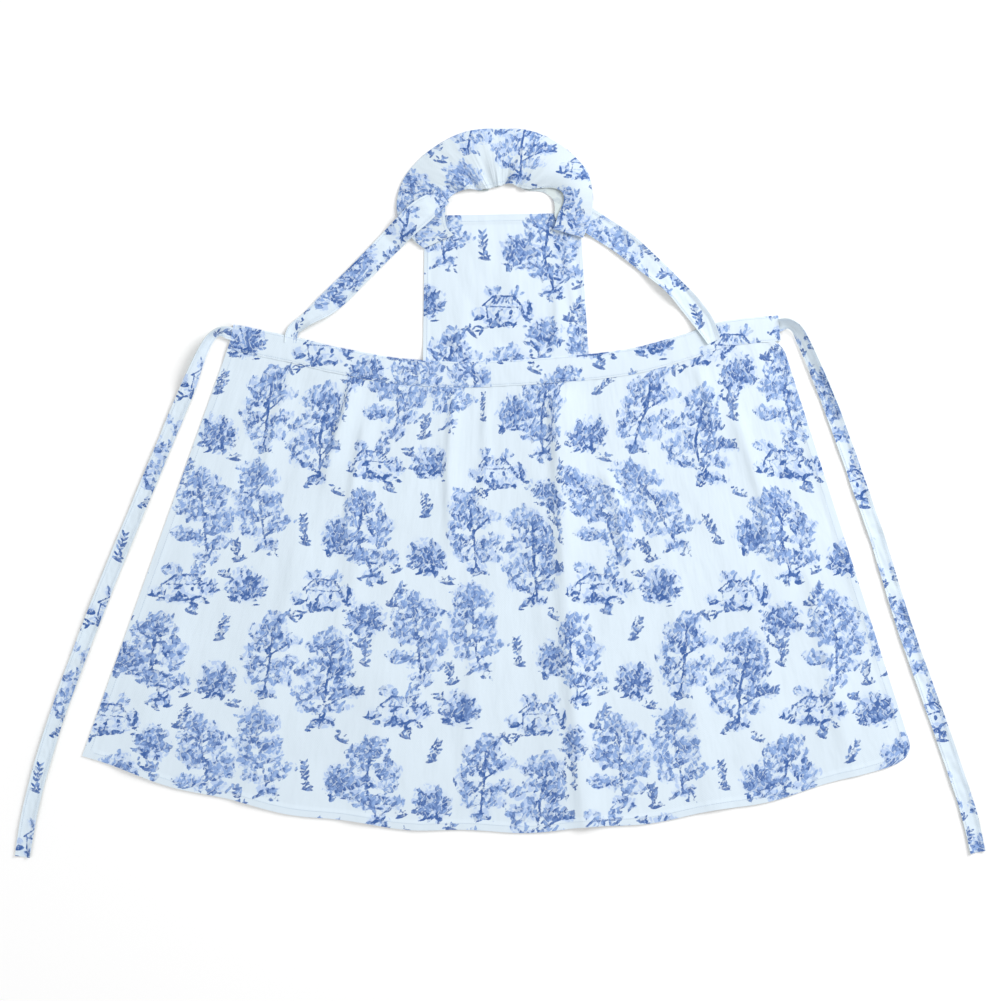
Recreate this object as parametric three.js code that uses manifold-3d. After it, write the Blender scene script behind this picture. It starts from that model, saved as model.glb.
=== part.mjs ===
import * as THREE from 'three';
import Module from 'manifold-3d';
import { mergeVertices } from 'three/addons/utils/BufferGeometryUtils.js';

// Kitchen apron of thin printed cotton, lying flat with its face up.
// Lengths are in millimetres and angles in degrees.
// X runs to the right, Y from the hem towards the neck and Z up from the floor.
// Places are measured from the middle of the waist, at the lowest point of the waistband's upper edge.

// Cloth
const CLOTH = 1.2; // thickness of one wall
const GAP = 0.3; // clear space between two walls that lie on each other
const SETTLE = 28; // length over which cloth comes down from a seam to the floor

// Waistband, a strip folded over the edges of the skirt and the bib
const WAIST_WIDTH = 762;
const WAIST_RISE = 64; // how far its right end lies above its lowest point
const BAND_HEIGHT = 36;
const SEAM = 9; // depth of the slots in its two long edges

// Skirt
const SKIRT_LENGTH = 622; // from the waistband to the lowest point of the hem
const HEM_WIDTH = 1164; // straight from corner to corner
const HEM_SAG = 106; // how far the middle of the hem lies below its corners
const HEM_SHIFT = -11; // the hem's middle from the waist's middle
const HEM_CORNER = 22; // radius of the right corner at the hem
const WAIST_CORNER = 30; // radius of the right corner at the waist
const HEM_WAVE = 2.2; // how far the hem wavers from its arc
const HEM_WAVE_COUNT = 7;
const RIGHT_CORNER_SHARE = 0.09; // share of the width over which the right corners are drawn in
const FOLD_RISE = 9;
const FOLD_STEEP_RATIO = 1.6; // a fold's left side against its right one
const FOLD_START_SHARE = 0.2; // share of a fold's length over which it rises
const FOLD_END_SHARE = 0.3; // share over which it runs out

// Bib
const BIB_HEIGHT = 206;
const BIB_WIDTH = 231;
const BIB_TOP_WIDTH = 217;
const BIB_LEAN = -5; // the top's middle from the waist's middle
const BIB_TOP_SLANT = 4; // how far its right top corner lies above the left one
const BIB_FOLD_RISE = 3;

// Neck band, a gathered strip folded along its outer edge
const NECK_MARGIN = 31; // from the bib's top corners in to the neck opening
const NECK_OVERHANG = 31.5; // from the bib's top corners out to the outer fold
const NECK_OPENING_HEIGHT = 39;
const NECK_SHIFT = -7.5; // the opening's middle from the waist's middle
const NECK_FROM_ANGLE = -16; // direction of the right end
const NECK_TO_ANGLE = 204; // direction of the left end
const NECK_PUFF = 11; // height of the upper layer over the lower one
const NECK_TUCK = 5; // how far the lower layer's inner edge stays hidden
const NECK_PEEK = 17; // how far the upper layer draws back at the right inner corner
const NECK_PEEK_ANGLE = 20; // direction of that corner
const NECK_PEEK_HALF_ANGLE = 16; // half of the angle over which it draws back
const NECK_RIGHT_SHARE = 0.11; // share of the sweep that lies on the right strap's end
const NECK_LEFT_SHARE = 0.12; // share of the sweep that lies on the bib's left corner
const NECK_EASE_SHARE = 0.08; // share over which each end comes down to the floor
const NECK_OPENING_POWER = 3; // 2 is an oval, more has fuller corners
const RUFFLE_COUNT = 9;
const RUFFLE_RISE = 2.4;

// Shoulder straps and waist ties
const STRAP_WIDTH = 34;
const TIE_WIDTH = 22;
const TIE_LENGTH = 788; // straight from the waistband's end to the tip
const TIE_TONGUE = 14; // length held inside the waistband's end
const TIE_LEFT_ANGLE = 2.0; // angle between the tie and the skirt's side
const TIE_RIGHT_ANGLE = 2.8;
const RIBBON_STEP = 3; // length between the places at which a strap or tie feels what it lies on
const RIBBON_REACH_COUNT = 4; // how many steps ahead and behind it feels

// Colours of the printed cloth, seen as a whole
const SKIRT_COLOUR = 0xc3d4f0;
const BAND_COLOUR = 0xc8d8f2;
const BIB_COLOUR = 0xc0d2ef;
const NECK_COLOUR = 0xbfd0ec;
const STRAP_COLOUR = 0xc6d6f1;
const TIE_COLOUR = 0xb9cbe9;
const COTTON_ROUGHNESS = 0.9;

// One wall and the gap above it
const LAYER = CLOTH + GAP;
// The waistband holds one wall of cloth between its two own
const BAND_THICKNESS = 3 * CLOTH + 2 * GAP;
// The neck band's outer fold and its opening keep to the bib's top corners
const NECK_REACH = BIB_TOP_WIDTH / 2 + NECK_OVERHANG;
const NECK_OPENING_WIDTH = BIB_TOP_WIDTH - 2 * NECK_MARGIN;
// Half the distance between the neck band's two layers at their fold
const NECK_TURN = LAYER / 2 + GAP;

// The waistband's upper edge, from the left end to the right one.
// along: share of the waist's width. rise: share of WAIST_RISE.
const WAIST_EDGE = [
	{ along: 0.00, rise: 0.81 },
	{ along: 0.10, rise: 0.56 },
	{ along: 0.20, rise: 0.29 },
	{ along: 0.31, rise: 0.06 },
	{ along: 0.45, rise: 0.00 },
	{ along: 0.65, rise: 0.16 },
	{ along: 0.73, rise: 0.28 },
	{ along: 0.82, rise: 0.57 },
	{ along: 0.90, rise: 0.88 },
	{ along: 1.00, rise: 1.00 },
];

// The skirt's pleats and soft folds.
// across, sway and width: shares of the skirt's width. from and to: shares of its length.
// rise: share of FOLD_RISE. A fold that ends past 1 runs out over the hem.
const SKIRT_FOLDS = [
	{ across: 0.055, sway: 0.003, width: 0.018, from: 0.50, to: 1.20, rise: 0.35 },
	{ across: 0.125, sway: 0.002, width: 0.012, from: 0.00, to: 0.34, rise: 0.30 },
	{ across: 0.205, sway: 0.004, width: 0.018, from: 0.30, to: 1.20, rise: 0.45 },
	{ across: 0.222, sway: 0.003, width: 0.010, from: 0.00, to: 0.36, rise: 0.85 },
	{ across: 0.290, sway: 0.008, width: 0.012, from: 0.08, to: 0.58, rise: 0.60 },
	{ across: 0.350, sway: 0.003, width: 0.020, from: 0.60, to: 1.20, rise: 0.30 },
	{ across: 0.418, sway: 0.003, width: 0.011, from: 0.00, to: 0.46, rise: 0.55 },
	{ across: 0.482, sway: 0.003, width: 0.013, from: 0.03, to: 0.95, rise: 0.50 },
	{ across: 0.605, sway: 0.012, width: 0.017, from: 0.00, to: 1.25, rise: 1.00 },
	{ across: 0.690, sway: 0.002, width: 0.011, from: 0.24, to: 0.52, rise: 0.60 },
	{ across: 0.760, sway: 0.004, width: 0.018, from: 0.45, to: 1.20, rise: 0.35 },
	{ across: 0.845, sway: 0.003, width: 0.011, from: 0.00, to: 0.30, rise: 0.45 },
	{ across: 0.928, sway: 0.005, width: 0.014, from: 0.14, to: 1.20, rise: 0.55 },
];

// The bib's soft folds, in the same columns, with rise as a share of BIB_FOLD_RISE.
const BIB_FOLDS = [
	{ across: 0.22, sway: 0.02, width: 0.06, from: 0.02, to: 0.60, rise: 0.60 },
	{ across: 0.55, sway: 0.02, width: 0.08, from: 0.10, to: 0.90, rise: 0.45 },
	{ across: 0.82, sway: 0.02, width: 0.06, from: 0.00, to: 0.55, rise: 1.00 },
];

// The neck band's sections, from its right end over the top to its left end.
// along: share of the sweep. outer: share of NECK_REACH. inner: share of the opening's own outline.
// puff: share of NECK_PUFF.
const NECK_SECTIONS = [
	{ along: 0.00, outer: 0.855, inner: 1.00, puff: 0.00 },
	{ along: 0.06, outer: 0.90, inner: 1.00, puff: 0.08 },
	{ along: 0.13, outer: 0.94, inner: 1.00, puff: 0.35 },
	{ along: 0.19, outer: 0.965, inner: 0.98, puff: 0.65 },
	{ along: 0.245, outer: 0.94, inner: 0.90, puff: 0.85 },
	{ along: 0.30, outer: 0.915, inner: 0.93, puff: 0.95 },
	{ along: 0.395, outer: 0.885, inner: 1.09, puff: 0.90 },
	{ along: 0.48, outer: 0.855, inner: 1.03, puff: 1.00 },
	{ along: 0.585, outer: 0.895, inner: 0.92, puff: 1.00 },
	{ along: 0.665, outer: 0.93, inner: 0.90, puff: 0.92 },
	{ along: 0.735, outer: 0.98, inner: 0.98, puff: 0.75 },
	{ along: 0.82, outer: 1.04, inner: 1.00, puff: 0.45 },
	{ along: 0.90, outer: 1.02, inner: 1.00, puff: 0.12 },
	{ along: 1.00, outer: 0.84, inner: 1.00, puff: 0.00 },
];

// Routes of the straps and ties, each along the straight line between its two ends.
// along and aside: shares of that line, aside being positive to the left of the way along it.
// width: share of the piece's own width. bank: how far the left edge is tipped up.
const STRAP_LEFT_ROUTE = [
	{ along: 0.000, aside: 0.0000, width: 0.72, bank: 0 },
	{ along: 0.120, aside: -0.0130, width: 1.02, bank: 0 },
	{ along: 0.215, aside: -0.0160, width: 1.03, bank: 0 },
	{ along: 0.345, aside: -0.0090, width: 0.97, bank: 0 },
	{ along: 0.440, aside: -0.0020, width: 0.94, bank: 0 },
	{ along: 0.530, aside: 0.0040, width: 0.92, bank: 0 },
	{ along: 0.620, aside: 0.0100, width: 0.94, bank: 0 },
	{ along: 0.710, aside: 0.0145, width: 0.95, bank: 0 },
	{ along: 0.800, aside: 0.0145, width: 0.90, bank: 8 },
	{ along: 0.870, aside: 0.0085, width: 0.74, bank: 20 },
	{ along: 0.920, aside: 0.0045, width: 0.64, bank: 24 },
	{ along: 1.000, aside: 0.0000, width: 0.50, bank: 0 },
];
const STRAP_RIGHT_ROUTE = [
	{ along: 0.00, aside: 0.000, width: 1.00, bank: 0 },
	{ along: 0.27, aside: 0.050, width: 1.00, bank: 0 },
	{ along: 0.45, aside: 0.064, width: 0.92, bank: 0 },
	{ along: 0.63, aside: 0.069, width: 0.80, bank: -14 },
	{ along: 0.76, aside: 0.061, width: 0.84, bank: 0 },
	{ along: 0.90, aside: 0.036, width: 0.80, bank: 0 },
	{ along: 1.00, aside: 0.000, width: 0.56, bank: 0 },
];
const TIE_LEFT_ROUTE = [
	{ along: 0.000, aside: 0.0000, width: 0.80, bank: 0 },
	{ along: 0.004, aside: -0.0190, width: 0.82, bank: -12 },
	{ along: 0.020, aside: -0.0300, width: 0.80, bank: -54 },
	{ along: 0.045, aside: -0.0342, width: 0.84, bank: -54 },
	{ along: 0.070, aside: -0.0353, width: 0.90, bank: -50 },
	{ along: 0.100, aside: -0.0354, width: 0.95, bank: -38 },
	{ along: 0.145, aside: -0.0365, width: 0.98, bank: -8 },
	{ along: 0.217, aside: -0.0378, width: 1.00, bank: 0 },
	{ along: 0.300, aside: -0.0390, width: 1.00, bank: 0 },
	{ along: 0.420, aside: -0.0400, width: 1.00, bank: 0 },
	{ along: 0.525, aside: -0.0406, width: 1.00, bank: 0 },
	{ along: 0.640, aside: -0.0394, width: 1.00, bank: 0 },
	{ along: 0.753, aside: -0.0352, width: 0.98, bank: 0 },
	{ along: 0.863, aside: -0.0255, width: 0.98, bank: 0 },
	{ along: 0.936, aside: -0.0145, width: 0.98, bank: 0 },
	{ along: 1.000, aside: 0.0000, width: 0.96, bank: 0 },
];
const TIE_RIGHT_ROUTE = [
	{ along: 0.000, aside: 0.0000, width: 0.80, bank: 0 },
	{ along: 0.003, aside: 0.0150, width: 0.78, bank: 16 },
	{ along: 0.018, aside: 0.0262, width: 0.80, bank: 44 },
	{ along: 0.045, aside: 0.0294, width: 0.86, bank: 36 },
	{ along: 0.073, aside: 0.0314, width: 0.88, bank: 31 },
	{ along: 0.104, aside: 0.0329, width: 0.90, bank: 27 },
	{ along: 0.156, aside: 0.0344, width: 0.92, bank: 20 },
	{ along: 0.231, aside: 0.0345, width: 0.95, bank: 6 },
	{ along: 0.306, aside: 0.0326, width: 0.96, bank: 0 },
	{ along: 0.420, aside: 0.0298, width: 0.96, bank: 0 },
	{ along: 0.530, aside: 0.0222, width: 0.98, bank: 0 },
	{ along: 0.642, aside: 0.0180, width: 0.99, bank: 0 },
	{ along: 0.755, aside: 0.0162, width: 1.00, bank: 0 },
	{ along: 0.868, aside: 0.0127, width: 1.00, bank: 0 },
	{ along: 0.943, aside: 0.0082, width: 1.00, bank: 0 },
	{ along: 1.000, aside: 0.0000, width: 0.98, bank: 0 },
];

// Where the straps' ends lie on the neck band, as shares of its sweep and of its width there
const STRAP_LEFT_TOP = { along: 0.81, across: 0.10 };
const STRAP_RIGHT_TOP = { along: 0.082, across: 0.55 };
// Where they end on the waistband: along its width, and how deep below its upper edge
const STRAP_LEFT_FOOT = { along: 0.107, depth: SEAM - GAP };
const STRAP_RIGHT_FOOT = { along: 0.871, depth: BAND_HEIGHT * 0.66 };
// Lengths back from the right strap's foot at which it needs a line of points to climb the waistband
const STRAP_CLIMB = [ 6, 14, 22, 29, 36, 43, 50, 58 ];
// Lengths from the waistband's end at which a tie needs a line of points to turn on its edge
const TIE_BEND = [ 0, 8, 16, 24, 32, 40, 50, 62, 76, 92, 110, 130 ];

const { lerp, clamp, degToRad, radToDeg } = THREE.MathUtils;

// Goes smoothly from 0 to 1 as t does.
function ease( t ) {

	return THREE.MathUtils.smoothstep( t, 0, 1 );

}

// Reads one column of a table smoothly between its rows.
function columnOf( rows, name ) {

	const slope = ( i ) => {

		const before = rows[ Math.max( i - 1, 0 ) ];
		const after = rows[ Math.min( i + 1, rows.length - 1 ) ];
		return ( after[ name ] - before[ name ] ) / ( after.along - before.along );

	};

	return ( along ) => {

		const at = clamp( along, 0, 1 );
		const next = clamp( rows.findIndex( ( row ) => row.along >= at ), 1, rows.length - 1 );
		const [ a, b ] = [ rows[ next - 1 ], rows[ next ] ];
		const span = b.along - a.along;
		const t = ( at - a.along ) / span;
		const rest = 1 - t;
		return a[ name ] * ( 1 + 2 * t ) * rest * rest + slope( next - 1 ) * span * t * rest * rest
			+ b[ name ] * ( 3 - 2 * t ) * t * t - slope( next ) * span * t * t * rest;

	};

}

// Shares from 0 to 1: even ones, and the extra ones that folds and seams need.
// An even share is left out where another one is closer than the least step.
function stations( count, extra, least ) {

	const even = Array.from( { length: count + 1 }, ( _, i ) => i / count );
	const inner = extra.filter( ( t ) => t > least && t < 1 - least );
	const kept = [ 0, 1, ...inner ];
	for ( const t of even ) {

		if ( kept.every( ( other ) => Math.abs( other - t ) > least ) ) kept.push( t );

	}

	return kept.sort( ( a, b ) => a - b ).filter( ( t, i, all ) => i === 0 || t - all[ i - 1 ] > least / 3 );

}

// A closed wall of even thickness around the sheet of middle points that pointAt gives.
function wall( pointAt, us, vs, thickness = CLOTH ) {

	const middle = us.map( ( u ) => vs.map( ( v ) => pointAt( u, v ) ) );
	const [ lastU, lastV ] = [ us.length - 1, vs.length - 1 ];
	const positions = [];

	const skin = ( side ) => {

		middle.forEach( ( line, i ) => line.forEach( ( point, j ) => {

			const [ before, after ] = [ middle[ Math.max( i - 1, 0 ) ], middle[ Math.min( i + 1, lastU ) ] ];
			const alongU = after[ j ].clone().sub( before[ j ] );
			const alongV = line[ Math.min( j + 1, lastV ) ].clone().sub( line[ Math.max( j - 1, 0 ) ] );
			const normal = alongU.cross( alongV ).normalize();
			const placed = point.clone().addScaledVector( normal, side * thickness / 2 );
			positions.push( placed.x, placed.y, placed.z );

		} ) );

	};

	skin( 1 );
	skin( - 1 );

	const near = ( i, j ) => i * vs.length + j;
	const far = us.length * vs.length;
	const faces = [];
	for ( let i = 0; i < lastU; i ++ ) {

		for ( let j = 0; j < lastV; j ++ ) {

			const [ a, b, c, d ] = [ near( i, j ), near( i + 1, j ), near( i + 1, j + 1 ), near( i, j + 1 ) ];
			faces.push( a, b, c, a, c, d );
			faces.push( far + a, far + c, far + b, far + a, far + d, far + c );

		}

	}

	const rim = [];
	for ( let i = 0; i < lastU; i ++ ) rim.push( near( i, 0 ) );
	for ( let j = 0; j < lastV; j ++ ) rim.push( near( lastU, j ) );
	for ( let i = lastU; i > 0; i -- ) rim.push( near( i, lastV ) );
	for ( let j = lastV; j > 0; j -- ) rim.push( near( 0, j ) );
	rim.forEach( ( a, i ) => {

		const b = rim[ ( i + 1 ) % rim.length ];
		faces.push( b, a, far + a, b, far + a, far + b );

	} );

	return closedGeometry( positions, faces );

}

// A closed bar: a flat outline of depths and heights, carried along the waistband between two shares of it.
function barAlongWaist( outline, shares ) {

	const positions = [];
	for ( const share of shares ) {

		for ( const [ depth, height ] of outline ) {

			const place = onWaistband( share, depth );
			positions.push( place.x, place.y, height );

		}

	}

	const count = outline.length;
	const faces = [];
	for ( let s = 0; s < shares.length - 1; s ++ ) {

		for ( let k = 0; k < count; k ++ ) {

			const [ a, b ] = [ s * count + k, s * count + ( k + 1 ) % count ];
			faces.push( a, b + count, b, a, a + count, b + count );

		}

	}

	const flat = outline.map( ( [ depth, height ] ) => new THREE.Vector2( depth, height ) );
	const last = ( shares.length - 1 ) * count;
	for ( const [ a, b, c ] of THREE.ShapeUtils.triangulateShape( flat, [] ) ) {

		faces.push( a, b, c, last + a, last + c, last + b );

	}

	return closedGeometry( positions, faces );

}

function closedGeometry( positions, faces ) {

	const geometry = new THREE.BufferGeometry();
	geometry.setAttribute( 'position', new THREE.Float32BufferAttribute( positions, 3 ) );
	geometry.setIndex( faces );
	geometry.computeVertexNormals();
	return geometry;

}

// Cuts closed geometries out of another one.
const wasm = await Module();
wasm.setup();

function solidOf( geometry ) {

	const bare = geometry.clone();
	bare.deleteAttribute( 'normal' );
	const merged = mergeVertices( bare );
	return new wasm.Manifold( new wasm.Mesh( {
		numProp: 3,
		vertProperties: new Float32Array( merged.attributes.position.array ),
		triVerts: new Uint32Array( merged.index.array ),
	} ) );

}

function cut( geometry, tools ) {

	let solid = solidOf( geometry );
	for ( const tool of tools ) solid = solid.subtract( solidOf( tool ) );
	const mesh = solid.getMesh();
	return closedGeometry( Array.from( mesh.vertProperties ), Array.from( mesh.triVerts ) );

}

// Waistband

const waistRise = columnOf( WAIST_EDGE, 'rise' );

function waistEdge( share ) {

	return new THREE.Vector2( ( share - 0.5 ) * WAIST_WIDTH, waistRise( share ) * WAIST_RISE );

}

// The way along the waistband at a share of it, to the right.
function waistWay( share ) {

	const step = 0.01;
	const from = clamp( share - step, 0, 1 - 2 * step );
	return waistEdge( from + 2 * step ).sub( waistEdge( from ) ).normalize();

}

// A point a depth below the waistband's upper edge. Shares past 0 and 1 go straight on.
function onWaistband( share, depth ) {

	const way = waistWay( share );
	const past = ( share - clamp( share, 0, 1 ) ) * WAIST_WIDTH;
	return waistEdge( clamp( share, 0, 1 ) )
		.addScaledVector( way, past )
		.add( new THREE.Vector2( way.y, - way.x ).multiplyScalar( depth ) );

}

// How deep a place lies below the waistband's upper edge.
function waistDepth( place ) {

	const share = place.x / WAIST_WIDTH + 0.5;
	const way = waistWay( share );
	const down = new THREE.Vector2( way.y, - way.x );
	return place.clone().sub( waistEdge( clamp( share, 0, 1 ) ) ).dot( down );

}

function waistbandGeometry() {

	const slotFloor = CLOTH;
	const slotRoof = BAND_THICKNESS - CLOTH;
	const outline = [
		[ 0, 0 ], [ BAND_HEIGHT, 0 ], [ BAND_HEIGHT, slotFloor ],
		[ BAND_HEIGHT - SEAM, slotFloor ], [ BAND_HEIGHT - SEAM, slotRoof ], [ BAND_HEIGHT, slotRoof ],
		[ BAND_HEIGHT, BAND_THICKNESS ], [ 0, BAND_THICKNESS ], [ 0, slotRoof ],
		[ SEAM, slotRoof ], [ SEAM, slotFloor ], [ 0, slotFloor ],
	];
	const middle = ( BAND_HEIGHT - SEAM ) / 2;
	const [ top, bottom ] = [ - 1, 1 ].map( ( side ) => middle + side * ( TIE_WIDTH + GAP ) / 2 );
	const pocket = [ [ top, slotFloor ], [ bottom, slotFloor ], [ bottom, slotRoof ], [ top, slotRoof ] ];
	const inside = ( TIE_TONGUE + GAP ) / WAIST_WIDTH;
	return cut( barAlongWaist( outline, stations( 30, [], 0.01 ) ), [
		barAlongWaist( pocket, [ - GAP / WAIST_WIDTH, inside ] ),
		barAlongWaist( pocket, [ 1 - inside, 1 + GAP / WAIST_WIDTH ] ),
	] );

}

// Folds

// How high a table of folds lifts the cloth at a share across and a share along it.
function foldLift( folds, across, along, rise ) {

	return folds.reduce( ( sum, fold ) => {

		const way = ( along - fold.from ) / ( fold.to - fold.from );
		if ( way <= 0 || way >= 1 ) return sum;
		const middle = fold.across + fold.sway * Math.sin( 2 * Math.PI * way );
		const off = ( across - middle ) / fold.width / 2;
		const steep = off < 0 ? FOLD_STEEP_RATIO : 1;
		const side = clamp( off * steep, - 1, 1 );
		const fade = ease( way / FOLD_START_SHARE ) * ease( ( 1 - way ) / FOLD_END_SHARE );
		return sum + fold.rise * rise * fade * ( 1 - side * side ) ** 3;

	}, 0 );

}

// The shares across the cloth at which its folds need a line of points.
function foldStations( folds ) {

	const widthsAside = [ - 1.1, - 0.45, 0, 0.7, 1.6 ];
	return folds.flatMap( ( fold ) => widthsAside.map( ( off ) => fold.across + off * fold.width ) );

}

// The height of the middle of a wall that comes out of a seam and settles on the floor.
function settledHeight( distance ) {

	return CLOTH / 2 + LAYER * ( 1 - ease( ( distance - SEAM ) / SETTLE ) );

}

// How far a corner rounded to a radius draws its edge in, at a distance from its end.
function cornerInset( distance, radius ) {

	const rest = clamp( radius - distance, 0, radius );
	return radius - Math.sqrt( radius * radius - rest * rest );

}

// Skirt

function hemPoint( across ) {

	const radius = ( HEM_WIDTH * HEM_WIDTH / 4 + HEM_SAG * HEM_SAG ) / ( 2 * HEM_SAG );
	const angle = Math.asin( HEM_WIDTH / 2 / radius ) * ( 2 * across - 1 );
	const wave = HEM_WAVE * Math.sin( 2 * Math.PI * HEM_WAVE_COUNT * across );
	const lowest = - BAND_HEIGHT - SKIRT_LENGTH + wave;
	return new THREE.Vector2( HEM_SHIFT + radius * Math.sin( angle ), lowest + radius * ( 1 - Math.cos( angle ) ) );

}

// The skirt's line from the waist to the hem at a share across it.
function skirtLine( across ) {

	const top = onWaistband( across, BAND_HEIGHT - SEAM + GAP );
	const bottom = hemPoint( across );
	return { top, bottom, length: top.distanceTo( bottom ) };

}

function skirtPoint( across, along ) {

	const { length } = skirtLine( across );
	const distance = along * length;
	// The right corners are rounded by drawing the lines near that edge in.
	const inset = cornerInset( distance, WAIST_CORNER ) + cornerInset( length - distance, HEM_CORNER );
	const edge = Math.max( 0, 1 - ( 1 - across ) / RIGHT_CORNER_SHARE );
	const drawn = across - inset * edge * edge / lerp( WAIST_WIDTH, HEM_WIDTH, along );
	const { top, bottom } = skirtLine( drawn );
	const place = top.lerp( bottom, along );
	const folds = foldLift( SKIRT_FOLDS, across, along, FOLD_RISE ) * ease( ( distance - SEAM ) / SETTLE );
	return new THREE.Vector3( place.x, place.y, settledHeight( distance ) + folds );

}

function skirtGeometry() {

	const length = SKIRT_LENGTH + SEAM;
	const settling = [ 0, 0.3, 0.65, 1 ].map( ( share ) => SEAM + SETTLE * share );
	const corner = [ 1, 0.3 ].map( ( share ) => length - HEM_CORNER * share );
	const downs = [ ...settling, ...corner ].map( ( distance ) => distance / length );
	return wall( skirtPoint, stations( 16, foldStations( SKIRT_FOLDS ), 0.006 ), stations( 13, downs, 0.008 ) );

}

// Bib

function bibEdges( across ) {

	const bottom = onWaistband( 0.5 + ( across - 0.5 ) * BIB_WIDTH / WAIST_WIDTH, SEAM - GAP );
	const x = BIB_LEAN + ( across - 0.5 ) * BIB_TOP_WIDTH;
	return { bottom, top: new THREE.Vector2( x, BIB_HEIGHT + ( across - 0.5 ) * BIB_TOP_SLANT ) };

}

function bibPoint( across, along ) {

	const { bottom, top } = bibEdges( across );
	const distance = along * bottom.distanceTo( top );
	const place = bottom.lerp( top, along );
	const folds = foldLift( BIB_FOLDS, across, along, BIB_FOLD_RISE ) * ease( ( distance - SEAM ) / SETTLE );
	return new THREE.Vector3( place.x, place.y, settledHeight( distance ) + folds );

}

// How high the bib carries what lies over it at a place near its top.
function bibTopAt( place ) {

	const along = place.y / BIB_HEIGHT;
	const across = 0.5 + ( place.x - BIB_LEAN * along ) / lerp( BIB_WIDTH, BIB_TOP_WIDTH, along );
	const edge = BIB_HEIGHT + ( across - 0.5 ) * BIB_TOP_SLANT;
	return across > 0 && across < 1 && place.y > 0 && place.y < edge ? CLOTH : 0;

}

function bibGeometry() {

	const length = BIB_HEIGHT + SEAM;
	const ups = [ SEAM, SEAM + SETTLE * 0.5, SEAM + SETTLE ].map( ( distance ) => distance / length );
	return wall( bibPoint, stations( 6, foldStations( BIB_FOLDS ), 0.025 ), stations( 7, ups, 0.02 ) );

}

// Neck band

const neckOuter = columnOf( NECK_SECTIONS, 'outer' );
const neckInner = columnOf( NECK_SECTIONS, 'inner' );
const neckPuff = columnOf( NECK_SECTIONS, 'puff' );

// Sizes of the section at a share of the sweep.
function neckSection( along ) {

	const direction = degToRad( lerp( NECK_FROM_ANGLE, NECK_TO_ANGLE, along ) );
	const acrossShare = Math.abs( Math.cos( direction ) ) / ( NECK_OPENING_WIDTH / 2 );
	const upShare = Math.abs( Math.sin( direction ) ) / NECK_OPENING_HEIGHT;
	const power = NECK_OPENING_POWER;
	const oval = ( acrossShare ** power + upShare ** power ) ** ( - 1 / power );
	const inner = oval * neckInner( along );
	const off = ( radToDeg( direction ) - NECK_PEEK_ANGLE ) / NECK_PEEK_HALF_ANGLE;
	const peek = Math.exp( - off * off );
	// The ends lie over the bib's corners, and the right one over the strap's end too.
	const rightEnd = 2 * LAYER * ( 1 - ease( ( along - NECK_RIGHT_SHARE ) / NECK_EASE_SHARE ) );
	const leftEnd = LAYER * ( 1 - ease( ( 1 - along - NECK_LEFT_SHARE ) / NECK_EASE_SHARE ) );
	return {
		direction,
		outer: neckOuter( along ) * NECK_REACH - NECK_TURN,
		upperInner: inner + NECK_PEEK * peek,
		lowerInner: inner + NECK_TUCK * ( 1 - peek ),
		base: rightEnd + leftEnd + CLOTH / 2,
		puff: neckPuff( along ),
	};

}

// Height of the upper layer's middle over the floor, a share of the way in from the outer fold.
function neckHeight( section, along, inwards ) {

	const dome = NECK_PUFF * Math.sin( Math.PI * inwards );
	const ruffle = RUFFLE_RISE * ( 1 - Math.cos( 2 * Math.PI * RUFFLE_COUNT * along ) ) * inwards * inwards;
	return section.base + 2 * NECK_TURN + section.puff * ( dome + ruffle );

}

function neckPlace( direction, radius ) {

	const middle = new THREE.Vector2( NECK_SHIFT, BIB_HEIGHT );
	return middle.add( new THREE.Vector2( Math.cos( direction ), Math.sin( direction ) ).multiplyScalar( radius ) );

}

// One point of the strip. In the layers 'lower' and 'upper', at is a share of the width.
// In the layer 'turn' it is an angle round the fold.
function neckPoint( along, { layer, at } ) {

	const section = neckSection( along );
	const { direction, outer, base } = section;
	let [ radius, height ] = [ lerp( section.lowerInner, outer, at ), base ];
	if ( layer === 'turn' ) {

		radius = outer + NECK_TURN * Math.cos( degToRad( at ) );
		height = base + NECK_TURN * ( 1 + Math.sin( degToRad( at ) ) );

	}

	if ( layer === 'upper' ) {

		radius = lerp( outer, section.upperInner, at );
		height = neckHeight( section, along, at );

	}

	const place = neckPlace( direction, radius );
	return new THREE.Vector3( place.x, place.y, height );

}

// How high the neck band carries what lies over it at a place.
function neckTopAt( place ) {

	const offset = place.clone().sub( neckPlace( 0, 0 ) );
	const turn = radToDeg( Math.atan2( offset.y, offset.x ) );
	const direction = turn < NECK_FROM_ANGLE ? turn + 360 : turn;
	const along = ( direction - NECK_FROM_ANGLE ) / ( NECK_TO_ANGLE - NECK_FROM_ANGLE );
	if ( along > 1 ) return 0;
	const section = neckSection( along );
	const radius = offset.length();
	if ( radius < section.upperInner || radius > section.outer + NECK_TURN + CLOTH / 2 ) return 0;
	const inwards = clamp( ( section.outer - radius ) / ( section.outer - section.upperInner ), 0, 1 );
	return neckHeight( section, along, inwards ) + LAYER / 2;

}

function neckBandGeometry() {

	const strip = [
		...[ 0, 0.5, 1 ].map( ( at ) => ( { layer: 'lower', at } ) ),
		...[ - 45, 0, 45 ].map( ( at ) => ( { layer: 'turn', at } ) ),
		...[ 0, 0.1, 0.28, 0.5, 0.7, 0.86, 1 ].map( ( at ) => ( { layer: 'upper', at } ) ),
	];
	return wall( neckPoint, stations( 6 * RUFFLE_COUNT, [], 0.005 ), strip );

}

// Straps and ties

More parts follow.
